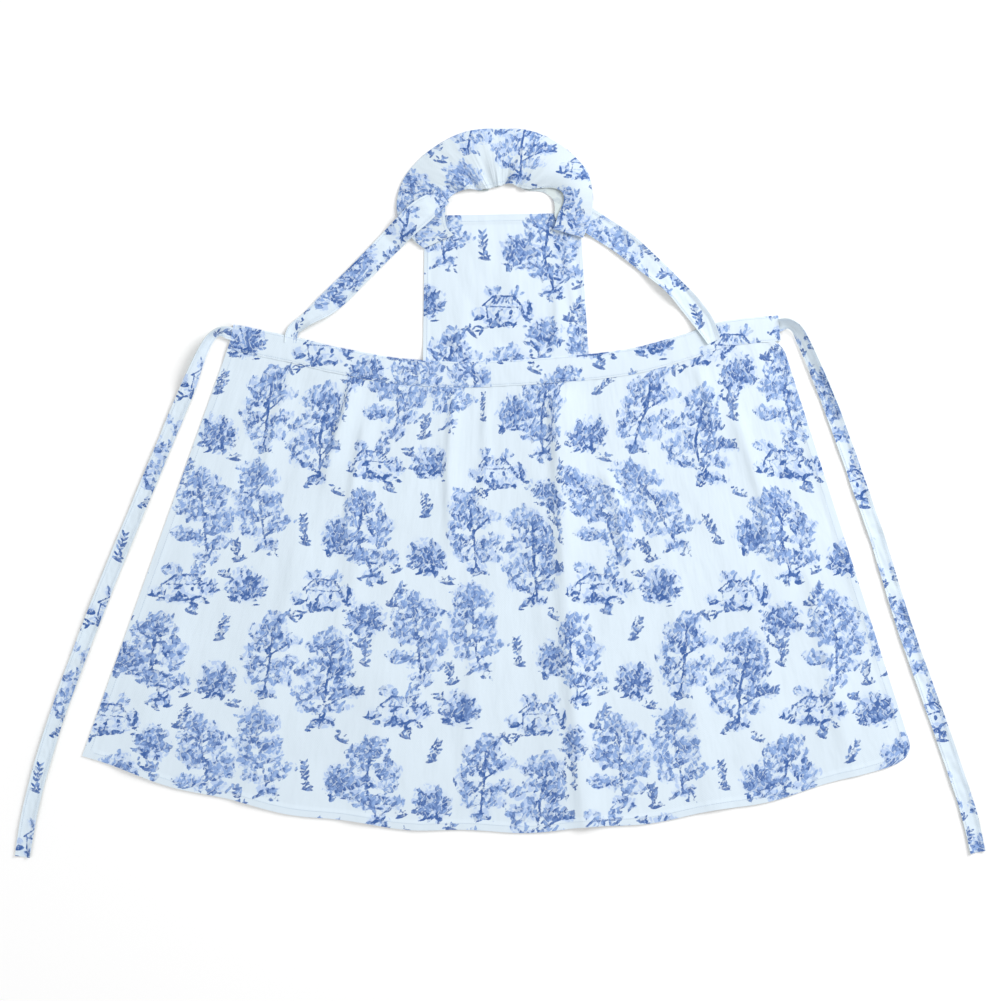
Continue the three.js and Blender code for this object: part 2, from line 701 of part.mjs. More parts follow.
// The route of a ribbon between two places, with the waypoints that lead into and out of it.
function routeOf( rows, start, end, before, after ) {

	const line = end.clone().sub( start );
	const left = new THREE.Vector2( - line.y, line.x );
	const pointOf = ( row ) => start.clone().addScaledVector( line, row.along ).addScaledVector( left, row.aside );
	const points = [ ...before, ...rows.map( pointOf ), ...after ].map( ( p ) => new THREE.Vector3( p.x, p.y, 0 ) );
	return new THREE.CatmullRomCurve3( points, false, 'centripetal' );

}

// A flat strip along a route. underAt gives the height of what it lies on at a place.
// share turns a distance along the route into the share at which its table is read.
function ribbon( { route, rows, width, underAt, share, steps } ) {

	const widthShare = columnOf( rows, 'width' );
	const bankAt = columnOf( rows, 'bank' );
	const length = route.getLength();
	const fine = Math.ceil( length / RIBBON_STEP );

	const frameAt = ( t ) => {

		const way = route.getTangentAt( t );
		return {
			place: route.getPointAt( t ),
			left: new THREE.Vector3( - way.y, way.x, 0 ),
			wide: width * widthShare( share( t * length, length ) ),
		};

	};

	// What it lies on is felt a little way ahead and behind, so that the strip bridges its edges.
	const felt = Array.from( { length: fine + 1 }, ( _, i ) => {

		const { place, left, wide } = frameAt( i / fine );
		return Math.max( ...[ - 0.5, - 0.25, 0, 0.25, 0.5 ].map( ( off ) => {

			const spot = new THREE.Vector2( place.x, place.y ).addScaledVector( left, off * wide );
			return underAt( spot, i / fine * length );

		} ) );

	} );
	const around = ( list, i ) => list.slice( Math.max( i - RIBBON_REACH_COUNT, 0 ), i + RIBBON_REACH_COUNT + 1 );
	const highest = felt.map( ( _, i ) => Math.max( ...around( felt, i ) ) );
	const lifts = highest.map( ( _, i ) => {

		const near = around( highest, i );
		return near.reduce( ( sum, lift ) => sum + lift, 0 ) / near.length;

	} );

	const pointAt = ( t, off ) => {

		const { place, left, wide } = frameAt( t );
		const bank = degToRad( bankAt( share( t * length, length ) ) );
		const at = t * fine;
		const low = Math.min( Math.floor( at ), fine - 1 );
		const under = lerp( lifts[ low ], lifts[ low + 1 ], at - low );
		const middle = under + Math.abs( Math.sin( bank ) ) * wide / 2 + Math.cos( bank ) * CLOTH / 2;
		return place.clone()
			.addScaledVector( left, off * wide * Math.cos( bank ) )
			.setZ( middle + off * wide * Math.sin( bank ) );

	};

	return wall( pointAt, steps( length ), [ - 0.5, 0, 0.5 ] );

}

function strapLeftGeometry() {

	const top = neckPoint( STRAP_LEFT_TOP.along, { layer: 'upper', at: 1 - STRAP_LEFT_TOP.across } );
	const start = new THREE.Vector2( top.x, top.y );
	const mouth = onWaistband( STRAP_LEFT_FOOT.along, - SEAM );
	const foot = onWaistband( STRAP_LEFT_FOOT.along, STRAP_LEFT_FOOT.depth );
	const route = routeOf( STRAP_LEFT_ROUTE, start, mouth, [], [ foot ] );
	const underAt = ( place ) => {

		if ( waistDepth( place ) > - CLOTH ) return LAYER;
		const carried = Math.max( bibTopAt( place ), neckTopAt( place ) );
		return carried > 0 ? carried + GAP : 0;

	};

	const tail = mouth.distanceTo( foot );
	return ribbon( {
		route,
		rows: STRAP_LEFT_ROUTE,
		width: STRAP_WIDTH,
		underAt,
		share: ( distance, length ) => distance / ( length - tail ),
		steps: ( length ) => stations( 22, [ 1 - tail / length, 1 - tail / 2 / length ], 0.01 ),
	} );

}

function strapRightGeometry() {

	const section = neckSection( STRAP_RIGHT_TOP.along );
	const start = neckPlace( section.direction, lerp( section.lowerInner, section.outer, STRAP_RIGHT_TOP.across ) );
	const foot = onWaistband( STRAP_RIGHT_FOOT.along, STRAP_RIGHT_FOOT.depth );
	const underAt = ( place ) => {

		if ( waistDepth( place ) > - CLOTH ) return BAND_THICKNESS + GAP;
		const carried = bibTopAt( place );
		return carried > 0 ? carried + GAP : 0;

	};

	return ribbon( {
		route: routeOf( STRAP_RIGHT_ROUTE, start, foot, [], [] ),
		rows: STRAP_RIGHT_ROUTE,
		width: STRAP_WIDTH,
		underAt,
		share: ( distance, length ) => distance / length,
		steps: ( length ) => stations( 24, STRAP_CLIMB.map( ( left ) => 1 - left / length ), 0.01 ),
	} );

}

// A waist tie on the side where the waistband's share is 0 or 1.
function tieGeometry( side, rows, spread ) {

	const outwards = side * 2 - 1;
	const depth = ( BAND_HEIGHT - SEAM ) / 2;
	const held = onWaistband( side - outwards * TIE_TONGUE / WAIST_WIDTH, depth );
	const start = onWaistband( side, depth );
	const along = hemPoint( side ).sub( onWaistband( side, BAND_HEIGHT ) ).normalize();
	const way = along.rotateAround( new THREE.Vector2(), degToRad( outwards * spread ) );
	const tip = start.clone().addScaledVector( way, TIE_LENGTH );
	const inBand = TIE_TONGUE + CLOTH;
	return ribbon( {
		route: routeOf( rows, start, tip, [ held ], [] ),
		rows,
		width: TIE_WIDTH,
		underAt: ( _, distance ) => ( distance < inBand ? LAYER : 0 ),
		share: ( distance, length ) => ( distance - inBand ) / ( length - inBand ),
		steps: ( length ) => stations( 24, TIE_BEND.map( ( past ) => ( inBand + past ) / length ), 0.006 ),
	} );

}

// Assembly

function piece( name, geometry, color ) {

	const material = new THREE.MeshStandardMaterial( { color, roughness: COTTON_ROUGHNESS, metalness: 0 } );
	const mesh = new THREE.Mesh( geometry, material );
	mesh.name = name;
	return mesh;

}

const apron = new THREE.Group();
apron.name = 'kitchen_apron';
apron.add(
	piece( 'skirt', skirtGeometry(), SKIRT_COLOUR ),
	piece( 'waistband', waistbandGeometry(), BAND_COLOUR ),
	piece( 'bib', bibGeometry(), BIB_COLOUR ),
	piece( 'neck_band', neckBandGeometry(), NECK_COLOUR ),
	piece( 'shoulder_strap_left', strapLeftGeometry(), STRAP_COLOUR ),
	piece( 'shoulder_strap_right', strapRightGeometry(), STRAP_COLOUR ),
	piece( 'waist_tie_left', tieGeometry( 0, TIE_LEFT_ROUTE, TIE_LEFT_ANGLE ), TIE_COLOUR ),
	piece( 'waist_tie_right', tieGeometry( 1, TIE_RIGHT_ROUTE, TIE_RIGHT_ANGLE ), TIE_COLOUR ),
);

// The origin is on the floor, below the middle of the whole apron.
const centre = new THREE.Box3().setFromObject( apron ).getCenter( new THREE.Vector3() );
apron.position.set( - centre.x, - centre.y, 0 );

export default apron;
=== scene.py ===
"""Looks of the kitchen apron: printed cotton pieces, their stitching, and the white floor it lies on.

Lengths are in metres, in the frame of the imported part: X to the right, Y from the hem to the neck, Z up.
"""

import math

import bpy
import numpy as np
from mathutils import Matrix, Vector


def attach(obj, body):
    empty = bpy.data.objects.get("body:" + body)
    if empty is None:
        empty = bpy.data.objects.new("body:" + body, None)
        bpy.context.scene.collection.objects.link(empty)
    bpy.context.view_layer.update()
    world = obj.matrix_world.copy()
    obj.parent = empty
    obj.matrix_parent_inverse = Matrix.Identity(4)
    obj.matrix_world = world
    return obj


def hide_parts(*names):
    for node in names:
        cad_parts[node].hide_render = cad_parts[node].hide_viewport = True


bl_info = {
    "name": "Kitchen apron",
    "version": (1, 0, 0),
    "blender": (4, 5, 0),
    "location": "3D View > Sidebar > Apron",
    "description": "Builds a printed cotton apron that lies flat on a white floor",
    "category": "Add Mesh",
}

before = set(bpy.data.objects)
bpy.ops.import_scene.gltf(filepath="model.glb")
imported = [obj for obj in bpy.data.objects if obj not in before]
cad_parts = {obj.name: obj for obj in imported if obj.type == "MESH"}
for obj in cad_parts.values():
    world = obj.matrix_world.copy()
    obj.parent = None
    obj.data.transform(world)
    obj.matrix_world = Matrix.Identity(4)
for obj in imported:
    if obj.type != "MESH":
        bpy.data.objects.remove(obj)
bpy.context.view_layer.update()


# Tables. Each row is a section, and its columns are named in the first line.


def table(names, *rows):
    """A short table, as one array for each named column."""
    return dict(zip(names.split(), np.array(rows, float).T))


# The waistband's upper edge, left to right: share of its width, share of its rise
WAIST_EDGE = table(
    "along rise",
    (0.00, 0.81), (0.10, 0.56), (0.20, 0.29), (0.31, 0.06), (0.45, 0.00),
    (0.65, 0.16), (0.73, 0.28), (0.82, 0.57), (0.90, 0.88), (1.00, 1.00),
)
# Folds of the skirt. start and end: shares across at its two ends. top and foot: shares down.
# rise and width in millimetres. lean: how far the ridge tips over, in rises. hidden: cloth tucked away.
SKIRT_FOLDS = table(
    "start end top foot rise width lean hidden",
    (0.055, 0.060, 0.50, 1.20, 2.6, 26, 0.0, 0),
    (0.125, 0.118, 0.00, 0.34, 2.6, 12, -0.3, 6),
    (0.205, 0.196, 0.30, 1.20, 3.0, 24, 0.0, 0),
    (0.232, 0.218, 0.00, 0.30, 5.0, 11, -0.9, 26),
    (0.262, 0.270, 0.08, 0.50, 3.2, 11, -0.5, 10),
    (0.300, 0.272, 0.20, 0.62, 2.4, 15, 0.0, 0),
    (0.350, 0.330, 0.60, 1.20, 2.4, 30, 0.0, 0),
    (0.405, 0.418, 0.00, 0.42, 3.2, 10, -0.5, 14),
    (0.470, 0.460, 0.00, 0.34, 2.4, 9, -0.3, 8),
    (0.455, 0.460, 0.42, 0.98, 2.2, 14, 0.0, 0),
    (0.590, 0.612, 0.00, 1.40, 7.5, 23, -0.6, 18),
    (0.560, 0.572, 0.10, 1.20, 2.2, 30, 0.0, 0),
    (0.660, 0.690, 0.20, 0.44, 3.4, 11, 0.4, 6),
    (0.745, 0.760, 0.45, 1.20, 2.6, 26, 0.0, 0),
    (0.838, 0.842, 0.00, 0.20, 2.6, 9, -0.3, 8),
    (0.880, 0.905, 0.12, 0.62, 3.2, 15, 0.2, 0),
    (0.935, 0.925, 0.50, 1.10, 3.0, 18, 0.2, 0),
)
# Folds of the bib, from its bottom to its top, in the same columns
BIB_FOLDS = table(
    "start end top foot rise width lean hidden",
    (0.22, 0.25, 0.02, 0.60, 1.6, 12, 0.0, 0),
    (0.50, 0.56, 0.10, 0.84, 1.2, 20, 0.0, 0),
    (0.80, 0.84, 0.00, 0.60, 2.4, 10, -0.4, 4),
    (0.93, 0.90, 0.30, 0.95, 1.4, 10, 0.0, 0),
)
# Sections of the neck band, right end over the top to the left end, as shares of its sizes
NECK_SECTIONS = table(
    "along outer inner puff",
    (0.000, 0.855, 1.00, 0.00), (0.060, 0.900, 1.00, 0.08), (0.130, 0.940, 1.00, 0.35),
    (0.190, 0.965, 0.98, 0.65), (0.245, 0.940, 0.90, 0.85), (0.300, 0.915, 0.93, 0.95),
    (0.395, 0.885, 1.09, 0.90), (0.480, 0.855, 1.03, 1.00), (0.585, 0.895, 0.92, 1.00),
    (0.665, 0.930, 0.90, 0.92), (0.735, 0.980, 0.98, 0.75), (0.820, 1.040, 1.00, 0.45),
    (0.900, 1.020, 1.00, 0.12), (1.000, 0.840, 1.00, 0.00),
)
# Routes of the straps and ties along the straight line between their ends.
# aside: share of that line, to the left. width: share of the piece's own. bank: left edge up, in degrees.
STRAP_LEFT_ROUTE = table(
    "along aside width bank",
    (0.000, 0.0000, 0.72, 0), (0.120, -0.0130, 1.02, 0), (0.215, -0.0160, 1.03, 0),
    (0.345, -0.0090, 0.97, 0), (0.440, -0.0020, 0.94, 0), (0.530, 0.0040, 0.92, 0),
    (0.620, 0.0100, 0.94, 0), (0.710, 0.0145, 0.95, 0), (0.800, 0.0145, 0.90, 8),
    (0.870, 0.0085, 0.74, 20), (0.920, 0.0045, 0.64, 24), (1.000, 0.0000, 0.50, 0),
)
STRAP_RIGHT_ROUTE = table(
    "along aside width bank",
    (0.00, 0.000, 1.00, 0), (0.27, 0.050, 1.00, 0), (0.45, 0.064, 0.92, 0),
    (0.63, 0.069, 0.80, -14), (0.76, 0.061, 0.84, 0), (0.90, 0.036, 0.80, 0),
    (1.00, 0.000, 0.56, 0),
)
TIE_LEFT_ROUTE = table(
    "along aside width bank",
    (0.000, 0.0000, 0.80, 0), (0.004, -0.0190, 0.82, -12), (0.020, -0.0300, 0.80, -54),
    (0.045, -0.0342, 0.84, -54), (0.070, -0.0353, 0.90, -50), (0.100, -0.0354, 0.95, -38),
    (0.145, -0.0365, 0.98, -8), (0.217, -0.0378, 1.00, 0), (0.300, -0.0390, 1.00, 0),
    (0.420, -0.0400, 1.00, 0), (0.525, -0.0406, 1.00, 0), (0.640, -0.0394, 1.00, 0),
    (0.753, -0.0352, 0.98, 0), (0.863, -0.0255, 0.98, 0), (0.936, -0.0145, 0.98, 0),
    (1.000, 0.0000, 0.96, 0),
)
TIE_RIGHT_ROUTE = table(
    "along aside width bank",
    (0.000, 0.0000, 0.80, 0), (0.003, 0.0150, 0.78, 16), (0.018, 0.0262, 0.80, 44),
    (0.045, 0.0294, 0.86, 36), (0.073, 0.0314, 0.88, 31), (0.104, 0.0329, 0.90, 27),
    (0.156, 0.0344, 0.92, 20), (0.231, 0.0345, 0.95, 6), (0.306, 0.0326, 0.96, 0),
    (0.420, 0.0298, 0.96, 0), (0.530, 0.0222, 0.98, 0), (0.642, 0.0180, 0.99, 0),
    (0.755, 0.0162, 1.00, 0), (0.868, 0.0127, 1.00, 0), (0.943, 0.0082, 1.00, 0),
    (1.000, 0.0000, 0.98, 0),
)


# Small fits of cloth and thread


GAP = 0.0003  # room that pieces keep from each other
THREAD_LIFT = 0.0001  # height of a stitch's middle over the cloth
CLEAR_OF_BAND = 0.0012  # where a strip is level with the waistband's edge
SEAM_LIFT = 1.5  # height of cloth where it leaves a seam, in layers
HEM_WAVE = 0.0022  # how far the hem's line wavers
HEM_HALF_WAVES = 14
STITCH_PITCH = 1.2  # from stitch to stitch, in stitch lengths
STEEP_SIDE = 1.5  # how much steeper a fold is on its left
FOLD_STRAY = 0.003  # how far a fold strays from a straight line, as a share across
CELL = 0.0015  # side of a mesh cell on the straps and ties


# Sizes and colours


def length(name, default, description):
    return bpy.props.FloatProperty(
        name=name, default=default, description=description, unit="LENGTH", precision=4
    )


def angle(name, degrees, description):
    return bpy.props.FloatProperty(
        name=name, default=math.radians(degrees), description=description, subtype="ANGLE"
    )


def colour(name, default, description):
    return bpy.props.FloatVectorProperty(
        name=name, default=default, description=description, subtype="COLOR", size=3
    )


class ApronSizes(bpy.types.PropertyGroup):
    """Sizes of the apron as it lies."""

    middle: bpy.props.FloatVectorProperty(
        name="Middle",
        default=(0.00802, 0.18412, 0),
        unit="LENGTH",
        description="Middle of the waist, as high up as the lowest point of the waistband's upper edge",
    )
    cloth: length("Cloth", 0.0005, "Thickness of one layer of cotton")
    layer: length("Layer", 0.0015, "Room that one layer takes in the stack")
    settle: length("Settle", 0.028, "Length over which cloth comes down from a seam to the floor")
    hem: length("Hem", 0.011, "Width of the turned hem of the skirt and the bib")
    waist_width: length("Waist width", 0.762, "Width of the waistband")
    waist_rise: length("Waist rise", 0.064, "How far its right end lies above its lowest point")
    band_height: length("Band height", 0.036, "Height of the waistband")
    seam: length("Seam", 0.009, "How deep edges reach into the waistband")
    skirt_length: length("Skirt length", 0.622, "From the waistband to the lowest point of the hem")
    hem_width: length("Hem width", 1.164, "Straight from corner to corner")
    hem_sag: length("Hem sag", 0.106, "How far the middle of the hem lies below its corners")
    hem_shift: length("Hem shift", -0.011, "The hem's middle from the waist's middle")
    hem_corner: length("Hem corner", 0.022, "Radius of the right corner at the hem")
    waist_corner: length("Waist corner", 0.030, "Radius of the right corner at the waist")
    bib_height: length("Bib height", 0.206, "Height of the bib")
    bib_width: length("Bib width", 0.231, "Width of the bib at the waistband")
    bib_top_width: length("Bib top width", 0.217, "Width of the bib at its top")
    bib_lean: length("Bib lean", -0.005, "The top's middle from the waist's middle")
    bib_slant: length("Bib slant", 0.004, "How far its right top corner lies above the left one")
    neck_margin: length("Neck margin", 0.031, "From the bib's top corners in to the neck opening")
    neck_overhang: length("Neck overhang", 0.0315, "From the bib's top corners out to the outer fold")
    neck_opening: length("Neck opening", 0.039, "Height of the neck opening")
    neck_shift: length("Neck shift", -0.0075, "The opening's middle from the waist's middle")
    neck_from: angle("Neck from", -16, "Direction of the neck band's right end")
    neck_to: angle("Neck to", 204, "Direction of the neck band's left end")
    neck_puff: length("Neck puff", 0.011, "Height of the upper layer over the lower one")
    strap_width: length("Strap width", 0.034, "Width of a shoulder strap")
    tie_width: length("Tie width", 0.022, "Width of a waist tie")
    tie_length: length("Tie length", 0.788, "Straight from the waistband's end to the tip")
    tie_tongue: length("Tie tongue", 0.014, "Length held inside the waistband's end")
    stitch: length("Stitch", 0.0026, "Length of one stitch")


class ApronColours(bpy.types.PropertyGroup):
    """Colours of the cloth, its print and its thread."""

    cloth: colour("Cloth", (0.675, 0.775, 0.86), "Bare cotton")
    reverse: colour("Reverse", (0.60, 0.67, 0.66), "Wrong side of the cotton")
    wash: colour("Wash", (0.42, 0.545, 0.79), "Palest blue of the print")
    light: colour("Light blue", (0.26, 0.395, 0.69), "Light strokes of the print")
    dark: colour("Dark blue", (0.040, 0.110, 0.34), "Darkest strokes of the print")
    thread: colour("Thread", (0.60, 0.72, 0.86), "Sewing thread")
    floor: colour("Floor", (0.97, 0.97, 0.97), "White floor")


class ApronSettings(bpy.types.PropertyGroup):
    """Everything that can be set."""

    sizes: bpy.props.PointerProperty(type=ApronSizes)
    colours: bpy.props.PointerProperty(type=ApronColours)


# Small helpers for arrays of points


def ease(t):
    """Goes smoothly from 0 to 1 as t does."""
    t = np.clip(t, 0, 1)
    return t * t * (3 - 2 * t)


def mix(a, b, t):
    return a + (b - a) * t


def read(rows, column, at):
    """One column of a table, read smoothly between its rows."""
    x, y = rows["along"], rows[column]
    index = np.arange(len(x))
    low, high = np.maximum(index - 1, 0), np.minimum(index + 1, len(x) - 1)
    slope = (y[high] - y[low]) / (x[high] - x[low])
    at = np.clip(at, 0, 1)
    k = np.clip(np.searchsorted(x, at), 1, len(x) - 1)
    span = x[k] - x[k - 1]
    t = (at - x[k - 1]) / span
    rest = 1 - t
    return (
        y[k - 1] * (1 + 2 * t) * rest * rest + slope[k - 1] * span * t * rest * rest
        + y[k] * (3 - 2 * t) * t * t - slope[k] * span * t * t * rest
    )


def waver(a, b, seed, count=5, reach=1.0):
    """A smooth, seeded unevenness from -1 to 1 over two coordinates."""
    rng = np.random.default_rng(seed)
    total = 0
    for _ in range(count):
        fa, fb = rng.normal(0, reach, 2)
        total = total + np.sin(2 * np.pi * (fa * a + fb * b + rng.random()))
    return total / count


def grid(columns, rows):
    """Even shares across and along, in steps that divide by three."""
    us = np.linspace(0, 1, 3 * math.ceil(columns / 3) + 1)
    vs = np.linspace(0, 1, 3 * math.ceil(rows / 3) + 1)
    return np.meshgrid(us, vs, indexing="ij")


def leftwards(shares):
    """The same shares with the ones across running from right to left, so that the print faces up."""
    across, along = shares
    return across[::-1], along


def pair(x, y):
    return np.stack(np.broadcast_arrays(x, y), -1)


def place(x, y, z):
    return np.stack(np.broadcast_arrays(x, y, z), -1)


def unit(v):
    return v / np.maximum(np.linalg.norm(v, axis=-1, keepdims=True), 1e-12)


# The outline of the apron


class Cut:
    """Where the lines of the apron lie, measured from the middle of the waist."""

    def __init__(self, sizes):
        self.s = sizes

    def waist_edge(self, at):
        """A point of the waistband's upper edge, and of its straight run on past both ends."""
        inside = np.clip(at, 0, 1)
        rise = read(WAIST_EDGE, "rise", inside) * self.s.waist_rise
        edge = pair((inside - 0.5) * self.s.waist_width, rise)
        return edge + self.waist_way(at) * ((at - inside) * self.s.waist_width)[..., None]

    def waist_way(self, at):
        """The way along the waistband, from left to right."""
        step = 0.01
        start = np.clip(at - step, 0, 1 - 2 * step)
        rise = read(WAIST_EDGE, "rise", start + 2 * step) - read(WAIST_EDGE, "rise", start)
        return unit(pair(2 * step * self.s.waist_width, rise * self.s.waist_rise))

    def on_waistband(self, at, depth):
        """A point at a share along the waistband and a depth below its upper edge."""
        at = np.asarray(at, float)
        way = self.waist_way(at)
        down = pair(way[..., 1], -way[..., 0])
        return self.waist_edge(at) + down * np.asarray(depth, float)[..., None]

    def waist_depth(self, spot):
        """How deep a point lies below the waistband's upper edge."""
        at = spot[..., 0] / self.s.waist_width + 0.5
        way = self.waist_way(at)
        offset = spot - self.waist_edge(np.clip(at, 0, 1))
        return offset[..., 0] * way[..., 1] - offset[..., 1] * way[..., 0]

    def hem_point(self, across):
        """A point of the skirt's hem, an arc that wavers a little."""
        s = self.s
        radius = (s.hem_width**2 / 4 + s.hem_sag**2) / (2 * s.hem_sag)
        turn = math.asin(s.hem_width / 2 / radius) * (2 * across - 1)
        waver_of_hem = HEM_WAVE * np.sin(HEM_HALF_WAVES * np.pi * across)
        lowest = -s.band_height - s.skirt_length + waver_of_hem
        return pair(s.hem_shift + radius * np.sin(turn), lowest + radius * (1 - np.cos(turn)))

    def neck_place(self, direction, radius):
        """A point seen from the middle of the bib's top edge."""
        x = self.s.neck_shift + radius * np.cos(direction)
        return pair(x, self.s.bib_height + radius * np.sin(direction))


def settled(distance, sizes):
    """Height of cloth that comes out of a seam and settles on the floor."""
    return sizes.layer * SEAM_LIFT * (1 - ease((distance - sizes.seam) / sizes.settle))


def folded(folds, across, along, wide):
    """Height, sideways shift and hidden cloth that a table of folds gives at shares across and along."""
    lift, shift, hidden = np.zeros_like(across), np.zeros_like(across), np.zeros_like(across)
    for k in range(len(folds["start"])):
        fold = {name: column[k] for name, column in folds.items()}
        way = (along - fold["top"]) / (fold["foot"] - fold["top"])
        middle = mix(fold["start"], fold["end"], way) + FOLD_STRAY * np.sin(7 * way + 2 * k)
        off = (across - middle) * wide / (fold["width"] / 1000)
        ridge = np.exp(-((off * np.where(off < 0, STEEP_SIDE, 1)) ** 2))
        # A fold that starts at the seam is there almost at once, and every fold runs out softly
        start, end = (0.16 if fold["top"] > 0 else 0.03), 0.4
        fade = ease(way / start) * ease((1 - way) / end)
        lift += fold["rise"] / 1000 * fade * ridge
        shift += fold["lean"] * fold["rise"] / 1000 * fade * ridge * np.clip(1 - way, 0, 1)
        hidden += fold["hidden"] / 1000 * fade * ease((off + 1) / 1.4)
    return lift, shift, hidden


# The print: a country scene of trees, bushes, huts, sprigs and tufts, drawn stroke by stroke on one tile


TILE = (0.300, 0.344)  # its width and height
TILE_STEP = 0.001  # side of one of its cells
SOFT = 0.0026  # how far the nearness of a stroke reaches out from it
LEAF_ROOM = 4.2e-5  # area that holds one leaf of a clump
BARE_TONE = 0.4  # tone of the cells that no stroke reaches

# Lengths and widths of the dabs, each from the least to the most
LEAF_LONG, LEAF_WIDE = (0.006, 0.013), (0.0024, 0.0046)
GRASS_LONG, GRASS_WIDE = (0.006, 0.014), (0.0026, 0.0048)
TWIG_LEAF_LONG, TWIG_LEAF_WIDE = (0.007, 0.012), (0.0028, 0.0044)
SPRIG_LEAF_LONG, SPRIG_LEAF_WIDE = (0.008, 0.013), (0.003, 0.0042)
BLADE_LONG, BLADE_WIDE = (0.006, 0.010), 0.0032

# Widths of the drawn lines
TRUNK_LINE, LIMB_LINE, TWIG_LINE = 0.0036, 0.0028, 0.0022
ROOF_LINE, WALL_LINE = 0.0026, 0.0024


class Tile:
    """A repeating field that holds how near the next stroke is, its tone, and a pale wash."""

    def __init__(self, seed):
        self.shape = tuple(round(side / TILE_STEP) for side in TILE)
        self.ink = np.zeros(self.shape)
        self.tone = np.full(self.shape, BARE_TONE)
        self.wash = np.zeros(self.shape)
        self.mood = 0.0
        self.rng = np.random.default_rng(seed)

    def window(self, x, y, reach):
        """The cells round a point, wrapped over the tile's edges, and their offsets from it."""
        n = math.ceil(reach / TILE_STEP) + 1
        i0, j0 = round(x / TILE_STEP), round(y / TILE_STEP)
        i, j = np.meshgrid(np.arange(i0 - n, i0 + n + 1), np.arange(j0 - n, j0 + n + 1), indexing="ij")
        columns = np.floor_divide(i, self.shape[0])
        rows = np.mod(j + columns * (self.shape[1] // 2), self.shape[1])
        return (np.mod(i, self.shape[0]), rows), i * TILE_STEP - x, j * TILE_STEP - y

    def dab(self, x, y, long, wide, turn, tone):
        """One leaf-shaped stroke of the brush."""
        cells, dx, dy = self.window(x, y, long / 2 + SOFT)
        c, s = math.cos(turn), math.sin(turn)
        a, b = (dx * c + dy * s) / (long / 2), (dy * c - dx * s) / (wide / 2)
        near = 0.5 + (1 - np.sqrt(a * a + b * b)) * wide / 2 / (2 * SOFT)
        near = np.maximum(near, 0)
        stronger = near > self.ink[cells]
        self.tone[cells] = np.where(stronger & (near > 0.3), tone + self.mood, self.tone[cells])
        self.ink[cells] = np.maximum(self.ink[cells], near)

    def stroke(self, points, wide, tone):
        """A line of the brush through a few points, made of short dabs that overlap."""
        points = np.array(points, float)
        for (x0, y0), (x1, y1) in zip(points[:-1], points[1:]):
            far = math.hypot(x1 - x0, y1 - y0)
            count = max(1, math.ceil(far / 0.006))
            turn = math.atan2(y1 - y0, x1 - x0)
            for k in range(count):
                t = (k + 0.5) / count
                width = wide * self.rng.uniform(0.8, 1.2)
                shade = tone + self.rng.normal(0, 0.08)
                self.dab(mix(x0, x1, t), mix(y0, y1, t), far / count * 1.7, width, turn, shade)

    def stain(self, x, y, rx, ry, strength):
        """A soft patch of the palest blue."""
        cells, dx, dy = self.window(x, y, max(rx, ry))
        patch = strength * ease(1.4 * (1 - np.hypot(dx / rx, dy / ry)))
        self.wash[cells] = np.maximum(self.wash[cells], patch)

    def leaves(self, x, y, rx, ry, tone):
        """A clump of leaves: dabs that point outwards and up, darker on the lower side."""
        rng = self.rng
        self.stain(x, y, rx * 1.5, ry * 1.5, rng.uniform(0.6, 1.0))
        fan = rng.uniform(0.2, 0.8) * math.pi
        for _ in range(max(4, round(rx * ry * math.pi / LEAF_ROOM))):
            radius, turn = math.sqrt(rng.random()), rng.uniform(0, 2 * math.pi)
            dx, dy = rx * radius * math.cos(turn), ry * radius * math.sin(turn)
            out = math.atan2(dy + 0.5 * ry, dx)
            facing = mix(out, fan, rng.uniform(0.2, 0.9)) + rng.normal(0, 0.3)
            shade = tone + 0.25 * (0.1 - dy / ry) + rng.normal(0, 0.26)
            self.dab(x + dx, y + dy, rng.uniform(*LEAF_LONG), rng.uniform(*LEAF_WIDE), facing, shade)

    def tree(self, x, y, size, broad):
        """A leafy tree: a trunk, limbs here and there, and clumps of leaves from low down to the top."""
        rng = self.rng
        lean = rng.uniform(-0.14, 0.14) * size
        half = size * broad / 100
        top = (x + lean, y + size * 0.9)
        bend = (x + rng.normal(0, 0.006), y + size * 0.4)
        for level in np.linspace(0.14, 0.95, 7):
            for side in (-1, 1):
                at = level + rng.uniform(-0.05, 0.05)
                sx, sy = mix(x, top[0], at), mix(y, top[1], at)
                reach = half * math.sin(math.pi * min(0.22 + 0.70 * at, 1)) ** 0.7 * rng.uniform(0.4, 0.95)
                ex, ey = sx + side * reach, sy + reach * rng.uniform(0.0, 0.5)
                rx, ry = size * rng.uniform(0.10, 0.14), size * rng.uniform(0.06, 0.11)
                self.leaves(ex, ey, rx, ry, rng.uniform(0.0, 0.6))
                inner = mix(sx, ex, 0.4), mix(sy, ey, 0.5)
                self.leaves(*inner, size * 0.08, size * 0.06, rng.uniform(0.1, 0.7))
                if rng.random() < 0.45:
                    limb = [(sx, sy - 0.008), (mix(sx, ex, 0.5), mix(sy, ey, 0.2)), (ex, ey)]
                    self.stroke(limb, LIMB_LINE, rng.uniform(0.6, 1.0))
        self.leaves(*top, size * 0.12, size * 0.13, 0.2)
        self.stroke([(x, y), bend, top], TRUNK_LINE, 1.0)
        self.ground(x, y, half * 0.55)

    def ground(self, x, y, wide):
        """Grass and stones under a tree or a hut."""
        rng = self.rng
        self.stain(x, y, wide * 1.2, 0.014, 0.9)
        for _ in range(round(wide / 0.0014)):
            dx = np.clip(rng.normal(0, 0.5), -1, 1) * wide
            dy = rng.normal(-0.003, 0.005) - 0.006 * (dx / wide) ** 2
            long, wide_of_dab = rng.uniform(*GRASS_LONG), rng.uniform(*GRASS_WIDE)
            self.dab(x + dx, y + dy, long, wide_of_dab, rng.normal(0.15, 0.6), rng.uniform(0.3, 1.1))

